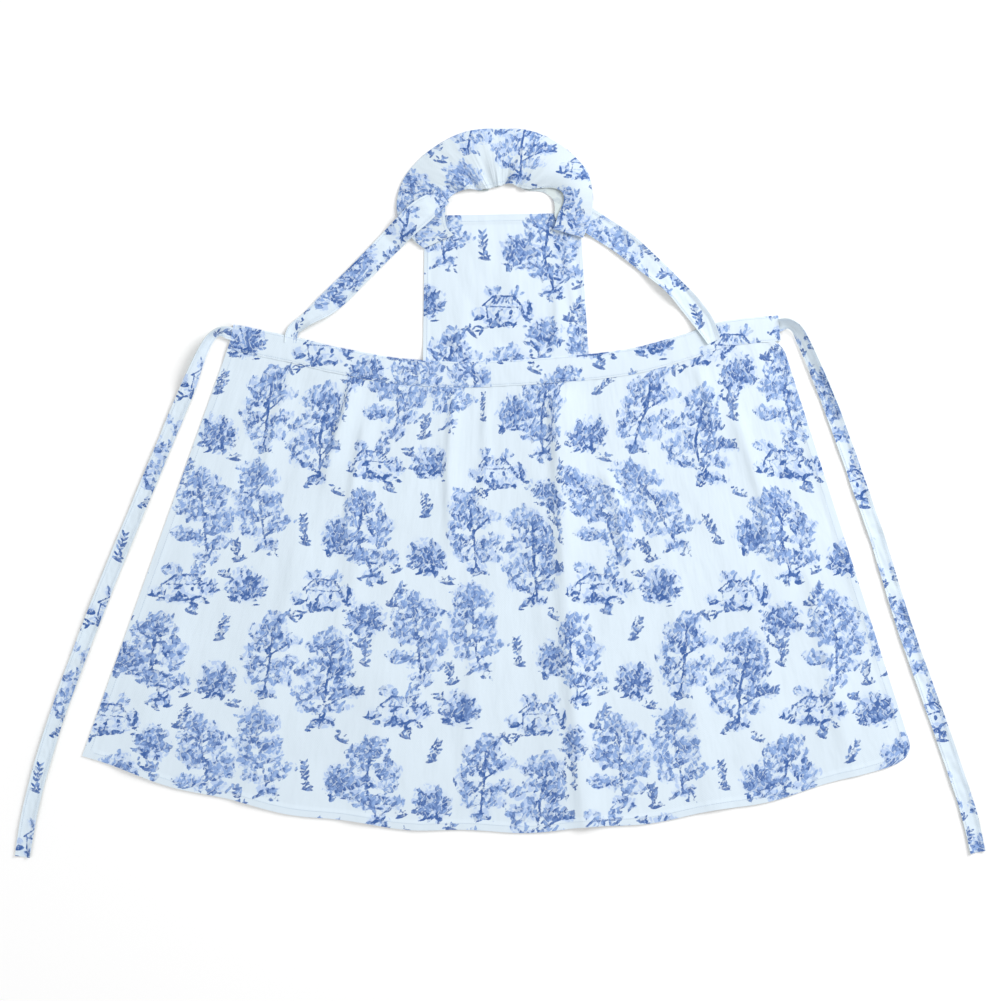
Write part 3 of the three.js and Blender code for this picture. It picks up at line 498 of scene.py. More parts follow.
    def bush(self, x, y, rx, ry):
        """A low round bush with twigs that fan out."""
        rng = self.rng
        self.stain(x, y + ry * 0.6, rx * 1.3, ry * 1.5, 1.0)
        for k in range(11):
            turn = math.pi * (0.06 + 0.88 * k / 10) + rng.normal(0, 0.08)
            far = rng.uniform(0.7, 1.1)
            ex, ey = x + rx * far * math.cos(turn), y + ry * 1.4 * far * math.sin(turn)
            self.stroke([(mix(x, ex, 0.2), mix(y, ey, 0.2)), (ex, ey)], TWIG_LINE, rng.uniform(0.4, 1.0))
            for _ in range(6):
                t = rng.uniform(0.35, 1.05)
                spot = mix(x, ex, t) + rng.normal(0, 0.003), mix(y, ey, t) + rng.normal(0, 0.003)
                long, wide = rng.uniform(*TWIG_LEAF_LONG), rng.uniform(*TWIG_LEAF_WIDE)
                self.dab(*spot, long, wide, turn + rng.normal(0, 0.6), rng.uniform(0.0, 0.8))
        self.ground(x, y, rx * 0.7)

    def hut(self, x, y, size):
        """A thatched hut half hidden by leaves, with rough ground before it."""
        rng = self.rng
        w, h = size * 0.5, size * 0.34

        def line(points, wide, tone):
            """A line of the hut, given in half widths and heights of the wall, drawn by an unsteady hand."""
            spots = [(x + w * a + rng.normal(0, 0.001), y + h * b + rng.normal(0, 0.001)) for a, b in points]
            self.stroke(spots, wide, tone)

        self.stain(x, y + h * 0.9, w * 1.5, h * 1.7, 0.6)
        self.leaves(x - w * 0.5, y + h * 2.1, size * 0.26, size * 0.16, 0.25)
        self.leaves(x + w * 0.8, y + h * 2.0, size * 0.2, size * 0.18, 0.3)
        line([(-1, 1), (-0.35, 1.8), (0.7, 1.7), (1.15, 0.9)], ROOF_LINE, 0.95)
        line([(-0.85, 1), (-0.8, 0)], WALL_LINE, 0.8)
        line([(-0.9, 0.98), (1, 0.88)], WALL_LINE, 0.7)
        straws = 8
        for k in range(straws):
            t = (k + rng.uniform(0.2, 0.8)) / straws
            high = (mix(x - w * 0.35, x + w * 0.7, t), y + h * rng.uniform(1.5, 1.75))
            low = (mix(x - w * 0.8, x + w, t), y + h * rng.uniform(1.0, 1.3))
            self.stroke([high, low], ROOF_LINE, rng.uniform(0.0, 0.6))
        line([(-0.2, 0), (-0.22, 0.6), (0.08, 0.62)], ROOF_LINE, 0.75)
        # The window
        self.dab(x + w * 0.5, y + h * 0.5, 0.008, 0.005, 1.3, 0.8)
        self.leaves(x + w * 1.3, y + h * 0.6, size * 0.24, size * 0.26, 0.5)
        self.leaves(x - w * 1.35, y + h * 0.4, size * 0.20, size * 0.18, 0.55)
        self.ground(x, y - 0.003, size * 0.7)

    def sprig(self, x, y, size, turn):
        """A stem with pairs of leaves."""
        rng = self.rng
        c, s = math.cos(turn), math.sin(turn)
        self.stroke([(x, y), (x + size * c, y + size * s)], TWIG_LINE, 0.6)
        for k in range(4):
            t = 0.35 + 0.65 * k / 3
            for side in (-1, 1):
                facing = turn + side * rng.uniform(0.5, 1.0)
                far = 0.0065 * (1.15 - 0.5 * t)
                spot = x + size * t * c + far * math.cos(facing), y + size * t * s + far * math.sin(facing)
                long, wide = rng.uniform(*SPRIG_LEAF_LONG), rng.uniform(*SPRIG_LEAF_WIDE)
                self.dab(*spot, long, wide, facing, rng.uniform(0.1, 0.9))
        self.tuft(x, y, 0.011)

    def tuft(self, x, y, size):
        """A handful of grass on a patch of ground."""
        rng = self.rng
        self.dab(x, y, size * 1.7, 0.005, rng.normal(0, 0.25), 0.75)
        for k in range(5):
            turn = math.pi * (0.15 + 0.7 * k / 4) + rng.normal(0, 0.15)
            far = size * rng.uniform(0.5, 0.9)
            spot = x + far * math.cos(turn), y + far * math.sin(turn)
            long = rng.uniform(*BLADE_LONG)
            self.dab(*spot, long, BLADE_WIDE, turn + rng.normal(0, 0.3), rng.uniform(0.1, 0.9))


# What lies where on the tile: kind, x, y and size in millimetres, and one value more. That value is how broad
# a tree or how high a bush is in hundredths of its size, or which way a sprig points in degrees.
MOTIFS = (
    ("tree", 44, 10, 128, 31), ("hut", 148, 16, 54, 0), ("bush", 236, 16, 31, 80),
    ("sprig", 102, 92, 30, 80), ("tuft", 92, 52, 12, 0), ("tree", 182, 72, 122, 33),
    ("bush", 106, 140, 30, 85), ("tree", 264, 88, 116, 32), ("sprig", 226, 66, 26, 100),
    ("tuft", 2, 158, 13, 0), ("hut", 44, 178, 52, 0), ("sprig", 142, 176, 30, 60),
    ("tree", 118, 216, 120, 32), ("bush", 196, 228, 30, 85), ("tuft", 160, 336, 12, 0),
    ("sprig", 20, 262, 34, 95), ("tree", 262, 228, 108, 34), ("sprig", 198, 300, 28, 70),
    ("tuft", 70, 330, 13, 0), ("tuft", 220, 206, 12, 0), ("bush", 66, 258, 27, 90),
    ("tuft", 206, 44, 12, 0), ("tuft", 152, 222, 11, 0), ("tuft", 98, 118, 11, 0),
)


def drawn_tile():
    """The tile with all its motifs. Every other tree is paler than the rest."""
    tile = Tile(41)
    pale_tree, tree, other = -0.2, 0.02, 0.12
    for k, (kind, x, y, size, extra) in enumerate(MOTIFS):
        x, y, size = x / 1000, y / 1000, size / 1000
        tile.mood = (pale_tree if k % 2 else tree) if kind == "tree" else other
        if kind == "tree":
            tile.tree(x, y, size, extra)
        elif kind == "hut":
            tile.hut(x, y, size)
        elif kind == "bush":
            tile.bush(x, y, size, size * extra / 100)
        elif kind == "sprig":
            tile.sprig(x, y, size, math.radians(extra))
        else:
            tile.tuft(x, y, size)
    return tile


class Print:
    """The tile, read at any point of the cloth."""

    def __init__(self):
        tile = drawn_tile()
        self.fields = np.stack([tile.ink, np.clip(tile.tone, 0, 1), tile.wash], -1)

    def at(self, x, y):
        """Nearness to ink, tone and wash at points of the flat cloth.

        Every other column of tiles lies half a tile higher.
        """
        nx, ny = self.fields.shape[:2]
        x, y = x / TILE_STEP, y / TILE_STEP
        i, j = np.floor(x).astype(int), np.floor(y).astype(int)
        fx, fy = (x - i)[..., None], (y - j)[..., None]

        def cell(a, b):
            return self.fields[np.mod(a, nx), np.mod(b + np.floor_divide(a, nx) * (ny // 2), ny)]

        low = cell(i, j) * (1 - fx) + cell(i + 1, j) * fx
        high = cell(i, j + 1) * (1 - fx) + cell(i + 1, j + 1) * fx
        return low * (1 - fy) + high * fy


# Materials


class Nodes:
    """Puts shader nodes of one material together."""

    def __init__(self, name):
        self.material = bpy.data.materials.new(name)
        self.material.use_nodes = True
        self.tree = self.material.node_tree
        self.shader = self.tree.nodes["Principled BSDF"]

    def add(self, kind, inputs=None, **settings):
        node = self.tree.nodes.new(kind)
        for key, value in settings.items():
            setattr(node, key, value)
        for key, value in (inputs or {}).items():
            self.put(node.inputs[key], value)
        return node

    def put(self, socket, value):
        if isinstance(value, bpy.types.NodeSocket):
            self.tree.links.new(value, socket)
        else:
            socket.default_value = value

    def math(self, operation, a, b=0.0, c=0.0):
        node = self.add("ShaderNodeMath", {0: a, 1: b, 2: c}, operation=operation)
        return node.outputs[0]

    def blend(self, factor, a, b):
        node = self.add("ShaderNodeMix", {0: factor, 6: a, 7: b}, data_type="RGBA")
        return node.outputs[2]

    def mix(self, factor, a, b):
        return self.add("ShaderNodeMix", {0: factor, 2: a, 3: b}).outputs[0]

    def ramp(self, value, low, high):
        """Goes smoothly from 0 at low to 1 at high."""
        inputs = {0: value, 1: low, 2: high}
        return self.add("ShaderNodeMapRange", inputs, interpolation_type="SMOOTHSTEP").outputs[0]

    def noise(self, vector, scale, detail=2.0):
        inputs = {"Vector": vector, "Scale": scale, "Detail": detail}
        return self.add("ShaderNodeTexNoise", inputs).outputs["Fac"]

    def stretched(self, vector, across, along):
        """The place on the cloth, scaled on its own in each way of the weave."""
        inputs = {"Vector": vector, "Scale": (across, along, 1.0)}
        return self.add("ShaderNodeMapping", inputs).outputs[0]

    def channels(self, colour_socket):
        """Red, green and blue on their own."""
        return self.add("ShaderNodeSeparateColor", {0: colour_socket}).outputs


def full(rgb):
    return (*rgb, 1.0)


# Unevenness of the cloth and print, from fine to broad, in waves for each metre
FINE, PATCHES, COARSE, BROAD = 420.0, 75.0, 60.0, 9.0
# Dabs of the brush in two ways that change in patches: turn, width and length
BRUSH = ((0.75, 0.0042, 0.0092), (-0.55, 0.0040, 0.0084))
# Threads of the weave in turns for each metre, and how high they, the slubs and the crumples stand
WEAVE, WEAVE_HEIGHT = 1900.0, 0.00005
SLUB_HEIGHT, CRUMPLE_HEIGHT = 0.00006, 0.0045
# How strongly the pale wash, the loose leaves and the wrong side cover what is under them
WASH_COVER, LEAF_COVER, REVERSE_COVER = 0.28, 0.85, 0.80
# What painted shade takes from red, green and blue where a copy of the cloth is darker and greyer, and the
# two shades of bare cloth
PAINTED_SHADE_PULL, CLOTH_SHADES = (0.9, 1.0, 1.25), (1.0, 0.97)


def dabs(n, where):
    """How far each point lies from the middle of its dab of the brush, and a chance value of that dab."""
    picked = n.ramp(n.noise(where, PATCHES, 1.0), 0.48, 0.52)
    far, chance = [], []
    for turn, across, along in BRUSH:
        inputs = {"Vector": where, "Rotation": (0, 0, turn), "Scale": (across, along, 1.0)}
        placed = n.add("ShaderNodeMapping", inputs, vector_type="TEXTURE").outputs[0]
        inputs = {"Vector": placed, "Scale": 1.0, "Randomness": 1.0}
        mark = n.add("ShaderNodeTexVoronoi", inputs, voronoi_dimensions="2D")
        far.append(mark.outputs["Distance"])
        chance.append(n.channels(mark.outputs["Color"])[0])
    return n.mix(picked, *far), n.mix(picked, *chance)


def bare_cotton(n, where, colours, painted_shade):
    """The cloth's own colour in two shades, darkened and greyed by painted shade where that is asked for, as
    on the gathered neck band.
    """
    tones = []
    for shade in CLOTH_SHADES:
        tones.append(full([c * (shade - painted_shade * pull) for c, pull in zip(colours.cloth, PAINTED_SHADE_PULL)]))
    return n.blend(n.ramp(n.noise(where, BROAD, 2.0), 0.3, 0.7), *tones)


def printed_cotton(n, where, colours, painted_shade):
    """The cloth's colour: a pale wash, loose leaves and strokes over the bare cotton."""
    parts = n.channels(n.add("ShaderNodeVertexColor", layer_name="print").outputs["Color"])
    nearness, drawn_tone, stain = parts[0], parts[1], parts[2]
    from_middle, chance = dabs(n, where)
    dab = n.ramp(from_middle, 0.60, 0.50)
    uneven = n.math("MULTIPLY_ADD", n.noise(where, COARSE, 3.0), 0.8, -0.4)
    wash = n.ramp(n.math("ADD", stain, uneven), 0.15, 0.9)
    with_wash = n.blend(
        n.math("MULTIPLY", wash, WASH_COVER), bare_cotton(n, where, colours, painted_shade), full(colours.wash)
    )
    # Loose leaves: dabs picked by chance where the wash is strong
    leaf = n.math("MULTIPLY", dab, n.ramp(n.math("MULTIPLY_ADD", chance, 0.9, stain), 1.02, 1.12))
    with_leaf = n.blend(n.math("MULTIPLY", leaf, LEAF_COVER), with_wash, full(colours.wash))
    # Strokes: ragged at their edges, broken into dabs with a darker rim, and drawn in full where dark
    ragged = n.math("ADD", nearness, n.math("MULTIPLY_ADD", n.noise(where, FINE, 3.0), 0.26, -0.13))
    ink = n.ramp(ragged, 0.47, 0.54)
    rim = n.math("MULTIPLY", n.ramp(from_middle, 0.30, 0.52), 0.25)
    own_tone = n.math("MULTIPLY_ADD", chance, 0.75, rim)
    tone = n.math("ADD", n.math("MULTIPLY_ADD", drawn_tone, 0.7, -0.28), own_tone)
    blue = n.blend(n.ramp(tone, 0.0, 0.95), full(colours.light), full(colours.dark))
    firm = n.math("MAXIMUM", n.math("MULTIPLY_ADD", dab, 0.62, 0.34), n.ramp(drawn_tone, 0.74, 0.92))
    return n.blend(n.math("MULTIPLY", ink, firm), with_leaf, blue)


def woven(n, where):
    """Warp over weft, from -1 to 1, and the cloth's fine relief."""
    axes = n.add("ShaderNodeSeparateXYZ", {0: n.stretched(where, WEAVE, WEAVE)}).outputs
    weave = n.math("MULTIPLY", n.math("SINE", axes[0]), n.math("SINE", axes[1]))
    slub = n.noise(n.stretched(where, 40.0, 900.0), 1.0)
    crumple = n.noise(n.stretched(where, 26.0, 9.0), 1.0, 3.0)
    threads = n.math("ADD", n.math("MULTIPLY", weave, WEAVE_HEIGHT), n.math("MULTIPLY", slub, SLUB_HEIGHT))
    return weave, n.math("ADD", threads, n.math("MULTIPLY", crumple, CRUMPLE_HEIGHT))


def cotton(name, colours, wrong_side=False, painted_shade=0.0):
    """Plain-weave cotton with the print on it, or its wrong side, where the print only shines through."""
    n = Nodes(name)
    where = n.add("ShaderNodeUVMap", uv_map="cloth").outputs["UV"]
    face = printed_cotton(n, where, colours, painted_shade)
    if wrong_side:
        face = n.blend(REVERSE_COVER, face, full(colours.reverse))
    weave, height = woven(n, where)
    shade = n.math("MULTIPLY_ADD", weave, 0.015, 1.0)
    shaded = n.add("ShaderNodeVectorMath", {0: face, 1: shade}, operation="MULTIPLY")
    relief = n.add("ShaderNodeBump", {"Strength": 0.8, "Distance": 1.0, "Height": height})
    n.put(n.shader.inputs["Base Color"], shaded.outputs[0])
    n.put(n.shader.inputs["Normal"], relief.outputs[0])
    n.shader.inputs["Roughness"].default_value = 0.88
    n.shader.inputs["Specular IOR Level"].default_value = 0.25
    n.shader.inputs["Sheen Weight"].default_value = 0.12
    n.shader.inputs["Sheen Roughness"].default_value = 0.6
    return n.material


def sewing_thread(rgb):
    """Thread with a fine grain."""
    n = Nodes("thread")
    grain = n.noise(n.add("ShaderNodeTexCoord").outputs["Object"], 700.0)
    shaded = n.blend(n.math("MULTIPLY", grain, 0.25), full(rgb), full([c * 0.8 for c in rgb]))
    n.put(n.shader.inputs["Base Color"], shaded)
    n.shader.inputs["Roughness"].default_value = 0.7
    return n.material


def white_floor(rgb):
    n = Nodes("floor_white")
    n.shader.inputs["Base Color"].default_value = full(rgb)
    n.shader.inputs["Roughness"].default_value = 0.9
    n.shader.inputs["Specular IOR Level"].default_value = 0.1
    return n.material


class Kit:
    """What the pieces of one apron share: its sizes, colours, lines, print and materials."""

    made = None

    def __init__(self, context):
        settings = context.scene.apron
        self.sizes, self.colours = settings.sizes, settings.colours
        self.cut = Cut(self.sizes)
        self.print = Print()
        self.front = cotton("cotton", self.colours)
        # A darker, greyer copy of the cotton for the neck band: painted shade for its gathers
        self.neck = cotton("cotton_painted_shade", self.colours, painted_shade=0.055)
        self.back = cotton("cotton_reverse", self.colours, wrong_side=True)
        self.thread = sewing_thread(self.colours.thread)

    @classmethod
    def of(cls, context):
        if cls.made is None:
            cls.made = cls(context)
        return cls.made


# Meshes


def rim_of(nu, nv):
    """The four sides of a grid in order, as pairs of indices in steps of three cells."""
    corners = [(0, 0), (nu - 1, 0), (nu - 1, nv - 1), (0, nv - 1), (0, 0)]
    sides = []
    for (i0, j0), (i1, j1) in zip(corners[:-1], corners[1:]):
        count = max(abs(i1 - i0), abs(j1 - j0))
        di, dj = np.sign(i1 - i0), np.sign(j1 - j0)
        for start in range(0, count, 3):
            sides.append([(i0 + di * k, j0 + dj * k) for k in range(start, start + 4)])
    return sides


def normals_of(middle):
    return unit(np.cross(np.gradient(middle, axis=0), np.gradient(middle, axis=1)))


def cloth(kit, name, middle, thick, flat, prints, face=None):
    """A closed sheet round its middle surface: a fine front with the print and a coarser reverse.

    flat holds the weave's coordinates, prints the place on the tile. Returns the object and the front.
    """
    nu, nv = middle.shape[:2]
    normal = normals_of(middle)
    half = normal * (np.broadcast_to(thick, (nu, nv)) / 2)[..., None]
    front, back = middle + half, (middle - half)[::3, ::3]
    fine = np.arange(nu * nv).reshape(nu, nv)
    rough = nu * nv + np.arange(back.shape[0] * back.shape[1]).reshape(back.shape[:2])

    def quads(index):
        return np.stack([index[:-1, :-1], index[1:, :-1], index[1:, 1:], index[:-1, 1:]], -1).reshape(-1, 4)

    rims = []
    for steps in rim_of(nu, nv):
        f = [int(fine[step]) for step in steps]
        a, b = (int(rough[i // 3, j // 3]) for i, j in (steps[0], steps[3]))
        rims += [(f[1], f[0], a), (f[2], f[1], a), (f[2], a, b), (f[3], f[2], b)]
    faces = quads(fine).tolist() + quads(rough)[:, ::-1].tolist() + rims
    points = np.concatenate([front.reshape(-1, 3), back.reshape(-1, 3)])
    points += np.array(kit.sizes.middle)
    mesh = bpy.data.meshes.new(name)
    mesh.from_pydata(points.tolist(), [], faces)
    mesh.materials.append(face or kit.front)
    mesh.materials.append(kit.back)
    slots = np.zeros(len(faces), np.int32)
    slots[(nu - 1) * (nv - 1) :] = 1
    mesh.polygons.foreach_set("material_index", slots)
    mesh.polygons.foreach_set("use_smooth", np.ones(len(faces), bool))

    def both(values):
        size = values.shape[-1]
        return np.concatenate([values.reshape(-1, size), values[::3, ::3].reshape(-1, size)])

    corners = np.zeros(len(mesh.loops), np.int32)
    mesh.loops.foreach_get("vertex_index", corners)
    layer = mesh.uv_layers.new(name="cloth")
    layer.data.foreach_set("uv", both(flat)[corners].astype(np.float32).ravel())
    field = kit.print.at(prints[..., 0], prints[..., 1])
    stored = np.concatenate([field, np.ones((*field.shape[:2], 1))], -1)
    attribute = mesh.color_attributes.new("print", "FLOAT_COLOR", "POINT")
    attribute.data.foreach_set("color", both(stored).astype(np.float32).ravel())
    mesh.update()
    mesh.validate()
    mesh.set_sharp_from_angle(angle=math.radians(70))
    obj = bpy.data.objects.new(name, mesh)
    bpy.context.scene.collection.objects.link(obj)
    return obj, front


def line_on(front, us, vs, lift):
    """Points on the front at fractional grid places, raised a little along its normal."""
    normal = normals_of(front)
    us, vs = np.broadcast_arrays(us, vs)
    i = np.clip(np.floor(us).astype(int), 0, front.shape[0] - 2)
    j = np.clip(np.floor(vs).astype(int), 0, front.shape[1] - 2)
    fu, fv = (us - i)[:, None], (vs - j)[:, None]

    def between(values):
        low = values[i, j] * (1 - fu) + values[i + 1, j] * fu
        high = values[i, j + 1] * (1 - fu) + values[i + 1, j + 1] * fu
        return low * (1 - fv) + high * fv

    up = unit(between(normal))
    return between(front) + up * lift, up


def even(points, up, pitch):
    """Places at an even pitch along a line, with the line's way and the way up."""
    steps = np.linalg.norm(np.diff(points, axis=0), axis=1)
    run = np.concatenate([[0], np.cumsum(steps)])
    count = max(2, int(run[-1] / pitch))
    at = (np.arange(count) + 0.5) * run[-1] / count
    spots = np.stack([np.interp(at, run, points[:, k]) for k in range(3)], -1)
    ahead = np.stack([np.interp(at + pitch / 4, run, points[:, k]) for k in range(3)], -1)
    behind = np.stack([np.interp(at - pitch / 4, run, points[:, k]) for k in range(3)], -1)
    raised = np.stack([np.interp(at, run, up[:, k]) for k in range(3)], -1)
    return spots, unit(ahead - behind), unit(raised)


# One stitch in stitch lengths, along, aside and up: its two tips, with a three-sided middle between them
STITCH = (
    (-0.5, 0, -0.08), (-0.2, 0.13, 0.03), (-0.2, -0.13, 0.03), (-0.2, 0, 0.11),
    (0.2, 0.13, 0.03), (0.2, -0.13, 0.03), (0.2, 0, 0.11), (0.5, 0, -0.08),
)
STITCH_SIDES = (
    (3, 1, 0), (2, 3, 0), (1, 2, 0),
    (3, 6, 4, 1), (2, 5, 6, 3), (1, 4, 5, 2),
    (4, 6, 7), (6, 5, 7), (5, 4, 7),
)


def stitching(kit, name, lines):
    """Rows of stitches: each is a small spindle of thread that dips into the cloth at both ends."""
    size = kit.sizes.stitch
    vertices, faces = [], []
    for points, up in lines:
        spots, way, raised = even(points, up, size * STITCH_PITCH)
        side = np.cross(raised, way)
        for spot, w, s, u in zip(spots, way, side, raised):
            start = len(vertices)
            vertices += [tuple(spot + size * (a * w + b * s + c * u)) for a, b, c in STITCH]
            faces += [tuple(start + k for k in corners) for corners in STITCH_SIDES]
    points = np.array(vertices) + np.array(kit.sizes.middle)
    mesh = bpy.data.meshes.new(name)
    mesh.from_pydata(points.tolist(), [], faces)
    mesh.materials.append(kit.thread)
    mesh.polygons.foreach_set("use_smooth", np.ones(len(faces), bool))
    mesh.update()
    obj = bpy.data.objects.new(name, mesh)
    bpy.context.scene.collection.objects.link(obj)
    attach(obj, "root")
    return obj


def declare(obj, node):
    """Ties a finished cloth piece to the root body and hides the imported part of its node."""
    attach(obj, "root")
    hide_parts(node)


# Skirt


CORNER_SHARE = 0.09  # share of the skirt's width over which the right corners are drawn in


def corner_inset(distance, radius):
    """How far a round corner of this radius is drawn in, at a distance from its end."""
    rest = np.clip(radius - distance, 0, radius)
    return radius - np.sqrt(np.maximum(radius * radius - rest * rest, 0))


def skirt_surface(kit):
    """The skirt's middle surface, thickness, places on the weave and the tile, and length."""
    s, cut = kit.sizes, kit.cut
    across, along = leftwards(grid(342, 234))
    run = s.skirt_length + s.seam
    depth = s.band_height - s.seam + GAP
    lines = cut.hem_point(across) - cut.on_waistband(across, np.full_like(across, depth))
    far = np.linalg.norm(lines, axis=-1)
    distance = along * far
    drawn_in = corner_inset(distance, s.waist_corner) + corner_inset(far - distance, s.hem_corner)
    edge = np.clip(1 - (1 - across) / CORNER_SHARE, 0, 1)
    wide = mix(s.waist_width, s.hem_width, along)
    drawn = across - drawn_in * edge * edge / wide
    top = cut.on_waistband(drawn, np.full_like(drawn, depth))
    spot = top + (cut.hem_point(drawn) - top) * along[..., None]
    lift, shift, hidden = folded(SKIRT_FOLDS, across, along, wide)
    free = ease((distance - s.seam) / s.settle)
    beside = np.minimum(across * wide, (1 - across) * wide)
    flat_edge = 0.03
    inside = ease(across * wide / flat_edge) * ease((1 - across) * wide / flat_edge)
    broad = 0.0011 * (1 + waver(across * 9, along * 1.6, 5, 9, 0.8))
    soft = broad + 0.0005 * waver(across * 30, along * 9, 6, 9, 0.8)
    hem = 1 - ease((np.minimum(beside, far - distance) - s.hem) / 0.002)
    thick = s.cloth * (1 + 2 * hem)
    height = settled(distance, s) + free * (lift + np.maximum(soft, 0) * inside) + thick / 2
    middle = place(spot[..., 0] + shift * free, spot[..., 1], height)
    print_x = spot[..., 0] + hidden + 0.004 * waver(across * 4, along * 3, 7)
    prints = pair(print_x, spot[..., 1] + 0.003 * waver(across * 5, along * 4, 8))
    flat = pair(across * s.hem_width, distance)
    return middle, thick, flat, prints, run


class APRON_OT_skirt(bpy.types.Operator):
    """Makes the skirt with its folds and its turned hem."""

    bl_idname = "apron.skirt"
    bl_label = "Skirt"

    def execute(self, context):
        kit = Kit.of(context)
        s = kit.sizes
        middle, thick, flat, prints, run = skirt_surface(kit)
        skirt, front = cloth(kit, "skirt_cloth", middle, thick, flat, prints)
        nu, nv = front.shape[:2]
        # Stitches run 2 mm inside the hem's edge, and those at the sides start below the waistband
        wide = np.linspace(s.waist_width, s.hem_width, nv)
        from_edge = s.hem - 0.002
        rows = np.arange(6, nv - 4.6)
        aside = from_edge / wide[rows.astype(int)] * (nu - 1)
        low = nv - 1 - from_edge / run * (nv - 1)
        lines = [
            line_on(front, aside, rows, THREAD_LIFT),
            line_on(front, nu - 1 - aside, rows, THREAD_LIFT),
            line_on(front, np.linspace(4, nu - 5, 600), low, THREAD_LIFT),
        ]
        thread = stitching(kit, "skirt_stitching", lines)
        # The fan's area with what the pleats take up, cut from a strip as wide as the curved hem is long
        cells = np.cross(np.diff(flat, axis=0)[:, :-1], np.diff(flat, axis=1)[:-1])
        declare(skirt, "skirt")
        return {"FINISHED"}


# Waistband


class APRON_OT_waistband(bpy.types.Operator):
    """Makes the waistband: a strip folded over the edges of the skirt and the bib."""

    bl_idname = "apron.waistband"
    bl_label = "Waistband"

    def execute(self, context):
        kit = Kit.of(context)
        s, cut = kit.sizes, kit.cut
        across, along = leftwards(grid(450, 48))
        # From the lower edge of the back over the fold at the top to the lower edge of the front
        turn = 0.0013
        straight = s.band_height - turn
        round_top = math.pi * turn
        path = 2 * straight + round_top
        run = along * path
        round_fold = np.clip((run - straight) / turn, 0, math.pi)
        past_fold = np.where(run > straight + round_top, run - straight - round_top, 0)
        depth = turn + np.where(run < straight, straight - run, past_fold)
        depth = depth - turn * np.sin(round_fold)
        height = 0.00205 - turn * np.cos(round_fold)
        on_front = (run > straight).astype(float)
        # Puckers between the seams, which hold the cloth flat
        fine = 0.00045 * waver(across * 60, depth * 20, 12, 9, 1.0)
        pucker = fine + 0.0005 * waver(across * 16, depth * 10, 13, 7, 1.0)
        from_seam = np.minimum(depth - 0.002, s.band_height - depth)
        puff = 0.0004 * ease(np.minimum(depth, s.band_height - depth) / 0.006)
        height = height + on_front * (pucker * (1 - 0.75 * ease(from_seam / 0.010)) + puff)
        depth = depth + 0.0007 * waver(across * 12, across * 0, 14) * on_front
        spot = cut.on_waistband(across, depth)
        middle = place(spot[..., 0], spot[..., 1], height)
        flat = pair(across * s.waist_width, run)
        # The band is cut on its own, so its print is shifted against the skirt's on the right
        prints = pair(spot[..., 0] + 0.030 * (spot[..., 0] > -0.02), spot[..., 1])
        band, front = cloth(kit, "waistband_cloth", middle, s.cloth, flat, prints)
        nu, nv = front.shape[:2]
        ends = np.linspace(2, nu - 3, 500)
        lines = [
            line_on(front, ends, (path - 0.0028) / path * (nv - 1), THREAD_LIFT),
            line_on(front, ends, (straight + round_top + 0.0012) / path * (nv - 1), THREAD_LIFT),
        ]
        thread = stitching(kit, "waistband_stitching", lines)
        declare(band, "waistband")
        return {"FINISHED"}


# Bib


class APRON_OT_bib(bpy.types.Operator):
    """Makes the bib with its soft folds and its hems."""

    bl_idname = "apron.bib"
    bl_label = "Bib"

    def execute(self, context):
        kit = Kit.of(context)
        s, cut = kit.sizes, kit.cut
        across, along = grid(135, 129)
        foot = 0.5 + (across - 0.5) * s.bib_width / s.waist_width
        bottom = cut.on_waistband(foot, np.full_like(across, s.seam - GAP))
        top_x = s.bib_lean + (across - 0.5) * s.bib_top_width
        top = pair(top_x, s.bib_height + (across - 0.5) * s.bib_slant)
        spot = mix(bottom, top, along[..., None])
        run = s.bib_height + s.seam
        distance = along * run
        wide = mix(s.bib_width, s.bib_top_width, along)
        lift, shift, hidden = folded(BIB_FOLDS, across, along, wide)
        free = ease((distance - s.seam) / s.settle)
        # The side hems are narrower than the top's
        narrower = 0.004
        beside = np.minimum(across * wide, (1 - across) * wide)
        hem = 1 - ease((np.minimum(beside + narrower, run - distance) - s.hem) / 0.002)
        thick = s.cloth * (1 + 1.6 * hem)
        flat_edge = 0.02
        inside = ease(across * wide / flat_edge) * ease((1 - across) * wide / flat_edge)
        inside = inside * ease((0.93 - along) / 0.1)
        soft = 0.0006 * (1 + waver(across * 4, along * 3, 22, 7)) * inside
        height = settled(distance, s) + free * (lift + soft) + thick / 2
        middle = place(spot[..., 0] + shift * free, spot[..., 1], height)
        prints = pair(spot[..., 0] + hidden + 0.05, spot[..., 1] + 0.118)
        bib, front = cloth(kit, "bib_cloth", middle, thick, pair(across * s.bib_width, distance), prints)
        nu, nv = front.shape[:2]
        from_edge = s.hem - 0.002
        rows = np.linspace(8, nv - 1 - from_edge / run * (nv - 1), 120)
        aside = (from_edge - narrower) / s.bib_width * (nu - 1)
        lines = [
            line_on(front, aside, rows, THREAD_LIFT),
            line_on(front, nu - 1 - aside, rows, THREAD_LIFT),
            line_on(front, np.linspace(3, nu - 4, 120), rows[-1], THREAD_LIFT),
        ]
        thread = stitching(kit, "bib_stitching", lines)
        declare(bib, "bib")
        return {"FINISHED"}


# Neck band


# Shares of the strip, from its inner edge below over the outer fold: where the fold starts and ends
FOLD_START, FOLD_END = 0.46, 0.52


